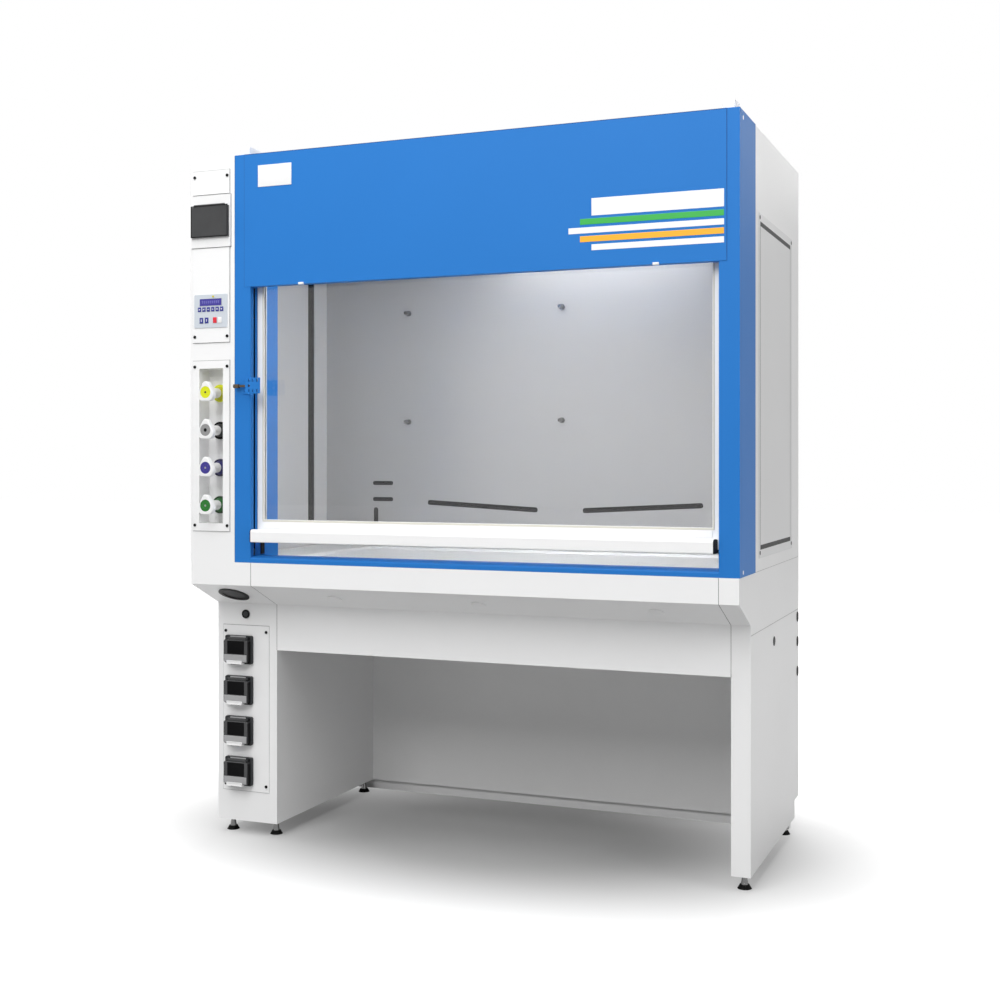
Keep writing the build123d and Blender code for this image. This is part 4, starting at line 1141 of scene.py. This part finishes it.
def addSpigotDetails(look):
    deselectAll()
    place = (look["x"], back(look["depth"]), look["beadLevel"])
    bpy.ops.mesh.primitive_circle_add(vertices=96, radius=look["beadRadius"], location=place)
    bead = bpy.context.active_object
    bead.name = "spigotBead"
    bpy.ops.object.mode_set(mode="EDIT")
    bpy.ops.mesh.select_mode(type="EDGE")
    bpy.ops.mesh.select_all(action="SELECT")
    bpy.ops.mesh.extrude_region_move(TRANSFORM_OT_translate={"value": (0, 0, look["beadHeight"])})
    bpy.ops.object.mode_set(mode="OBJECT")
    bpy.ops.object.transform_apply(location=True, rotation=True, scale=True)
    wall = bead.modifiers.new("rolledEdge", "SOLIDIFY")
    wall.thickness = look["beadThickness"]
    wall.offset = 1.0
    bpy.ops.object.modifier_apply(modifier=wall.name)
    roundEdges(bead, look["beadRounding"], 3)
    dressPiece(bead, whiteCoat)
    circle = look["screwCircle"]
    first = addRound("spigotScrews", (place[0] + circle, place[1], look["screwLevel"]),
                     look["screwRadius"], look["screwHeight"], facing="up", corners=20)
    stepFace(first, *look["screwStep"], lambda face: face.normal.z > 0.9)
    turns = [math.radians(360 * i / look["screwCount"]) for i in range(1, look["screwCount"])]
    shifts = [(circle * (math.cos(turn) - 1), circle * math.sin(turn), 0) for turn in turns]
    dressPiece(repeatPiece(first, shifts), chromed)


addSpigotDetails(spigotLook)

# Rear panel: three screwed sheets on a thin backing, in place of the plain solid
rearLook = {
    "edges": (-0.898, -0.3, 0.3, 0.898),
    "levels": (0.105, 2.224),
    "backingDepths": (0.9505, 0.9510),
    "backingStep": (0.004, -0.0001),
    "sheetDepths": (0.9505, 0.9516),
    "sheetStep": (0.0012, 0.0001),
    "gap": 0.0015,
    "screwColumns": (0.02, 0.299, 0.578),
    "screwLevels": (0.16, 0.62, 1.0, 1.6, 2.19),
    "screwDepth": 0.9517,
    "screwRadius": 0.0045,
    "screwHeight": 0.0004,
    "screwStep": (0.0016, -0.0002),
}


def addRearSkin(look):
    edges, levels = look["edges"], look["levels"]
    addTrim("rearBacking", (edges[0], edges[-1]), look["backingDepths"], levels, look["backingStep"], None,
            seamAndShadeGrey, "grey_plastic", test=facesBack)
    sheets = []
    for left, right in zip(edges, edges[1:]):
        sheet = addBlock("rearSheets", widened((left, right), -look["gap"]), look["sheetDepths"], levels)
        stepFace(sheet, *look["sheetStep"], facesBack)
        sheets.append(sheet)
    skin = joinPieces(sheets)
    dressPiece(skin, whiteCoat)
    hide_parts("rear_panel")
    spots = [(left + shift, z) for left in edges[:3] for shift in look["screwColumns"]
             for z in look["screwLevels"]]
    first = addRound("rearScrews", (spots[0][0], back(look["screwDepth"]), spots[0][1]),
                     look["screwRadius"], look["screwHeight"], corners=20)
    stepFace(first, *look["screwStep"], facesBack)
    dressPiece(repeatPiece(first, shiftsFrom(spots)), chromed)


addRearSkin(rearLook)

# Access covers of the sides, a little thinner than their solids so that the screws stand out
coverLook = {"x": (0.898, 0.8991), "depths": (0.272, 0.822), "levels": (0.956, 1.978),
             "step": (0.0012, 0.0002)}


def addAccessCovers(look):
    covers = []
    for _, side in hands:
        cover = addBlock("accessCovers", mirrored(look["x"], side), look["depths"], look["levels"])
        stepFace(cover, *look["step"], facesOut(side))
        covers.append(cover)
    covers = joinPieces(covers)
    dressPiece(covers, coverCoat)
    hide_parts("access_panels")


addAccessCovers(coverLook)
print("sides, roof and rear are dressed")

# Floor, background and lamps
stageSettings = {
    "floorSize": 60.0,
    "floorColour": 0.4,
    "glowNear": 0.0,
    "glowFar": 0.95,
    "glowFrom": 0.27,
    "glowTo": 1.15,
    "squeeze": (0.62, 1.0, 1.0),
    "worldStrength": 0.2,
}


def addStage(settings):
    deselectAll()
    bpy.ops.mesh.primitive_plane_add(size=settings["floorSize"], location=(0, 0, 0))
    floor = bpy.context.active_object
    floor.name = "studioFloor"
    material = bpy.data.materials.new("studioFloor")
    material.use_nodes = True
    tree = material.node_tree
    tree.nodes.clear()
    matt = tree.nodes.new("ShaderNodeBsdfDiffuse")
    matt.inputs["Color"].default_value = (settings["floorColour"],) * 3 + (1,)
    glow = tree.nodes.new("ShaderNodeEmission")
    glow.inputs["Color"].default_value = (1, 1, 1, 1)
    path = tree.nodes.new("ShaderNodeLightPath")
    place = tree.nodes.new("ShaderNodeTexCoord")
    squeeze = addMath(tree, "MULTIPLY", "ShaderNodeVectorMath")
    squeeze.inputs[1].default_value = settings["squeeze"]
    reach = addMath(tree, "LENGTH", "ShaderNodeVectorMath")
    # No glow near the hood, rising away from it: the floor round the hood is darker there, painted shade
    # besides the lamps' real shadows
    rise = tree.nodes.new("ShaderNodeMapRange")  # the floor grows whiter away from the hood
    rise.interpolation_type = "SMOOTHSTEP"
    rise.inputs["From Min"].default_value = settings["glowFrom"]
    rise.inputs["From Max"].default_value = settings["glowTo"]
    rise.inputs["To Min"].default_value = settings["glowNear"]
    rise.inputs["To Max"].default_value = settings["glowFar"]
    level = addMath(tree, "MULTIPLY")
    wire(tree, place, "Object", squeeze, 0)
    wire(tree, squeeze, "Vector", reach, 0)
    wire(tree, reach, "Value", rise, "Value")
    wire(tree, rise, "Result", level, 1)
    both = tree.nodes.new("ShaderNodeAddShader")
    out = tree.nodes.new("ShaderNodeOutputMaterial")
    seen = addMath(tree, "MAXIMUM")
    direct = addMath(tree, "MAXIMUM")
    wire(tree, path, "Is Camera Ray", seen, 0)
    wire(tree, path, "Is Glossy Ray", seen, 1)
    wire(tree, seen, "Value", direct, 0)
    wire(tree, path, "Is Transmission Ray", direct, 1)
    wire(tree, direct, "Value", level, 0)
    wire(tree, level, "Value", glow, "Strength")
    wire(tree, matt, "BSDF", both, 0)
    wire(tree, glow, "Emission", both, 1)
    wire(tree, both, "Shader", out, "Surface")
    floor.data.materials.append(material)

    world = bpy.data.worlds.new("studioWorld")
    bpy.context.scene.world = world
    world.use_nodes = True
    worldTree = world.node_tree
    worldTree.nodes.clear()
    sky = worldTree.nodes.new("ShaderNodeBackground")
    sky.inputs["Color"].default_value = (1, 1, 1, 1)
    worldPath = worldTree.nodes.new("ShaderNodeLightPath")
    shown = addMath(worldTree, "MAXIMUM")
    clear = addMath(worldTree, "MAXIMUM")
    strength = worldTree.nodes.new("ShaderNodeMapRange")
    strength.inputs["To Min"].default_value = settings["worldStrength"]
    strength.inputs["To Max"].default_value = 1.0
    worldOut = worldTree.nodes.new("ShaderNodeOutputWorld")
    wire(worldTree, worldPath, "Is Camera Ray", shown, 0)
    wire(worldTree, worldPath, "Is Glossy Ray", shown, 1)
    wire(worldTree, shown, "Value", clear, 0)
    wire(worldTree, worldPath, "Is Transmission Ray", clear, 1)
    wire(worldTree, clear, "Value", strength, "Value")
    wire(worldTree, strength, "Result", sky, "Strength")
    wire(worldTree, sky, "Background", worldOut, "Surface")


addStage(stageSettings)

lampSettings = [
    {"name": "keyPanel", "place": (-0.6, -6.2, 5.6), "aim": (0, 0, 1.2), "size": 4.0, "power": 345.0},
    {"name": "topPanel", "place": (0.0, -1.4, 6.0), "aim": (0, 0, 0), "size": 4.0, "power": 175.0},
    {"name": "fillPanel", "place": (5.5, -2.0, 4.2), "aim": (0, 0, 1.0), "size": 3.0, "power": 92.0},
    {"name": "sidePanel", "place": (-5.5, -1.0, 4.2), "aim": (0, 0, 1.0), "size": 3.0, "power": 92.0},
    {"name": "rearPanel", "place": (0.0, 6.0, 5.0), "aim": (0, 0, 1.0), "size": 4.0, "power": 240.0},
]


def addLamps(lamps):
    for settings in lamps:
        lampData = bpy.data.lights.new(settings["name"], "AREA")
        lampData.size = settings["size"]
        lampData.energy = settings["power"]
        lamp = bpy.data.objects.new(settings["name"], lampData)
        lamp.location = settings["place"]
        toAim = Vector(settings["aim"]) - Vector(settings["place"])
        lamp.rotation_euler = toAim.to_track_quat("-Z", "Y").to_euler()
        bpy.context.collection.objects.link(lamp)


addLamps(lampSettings)
bpy.context.scene.view_settings.view_transform = "Standard"
print("stage and lamps are set")
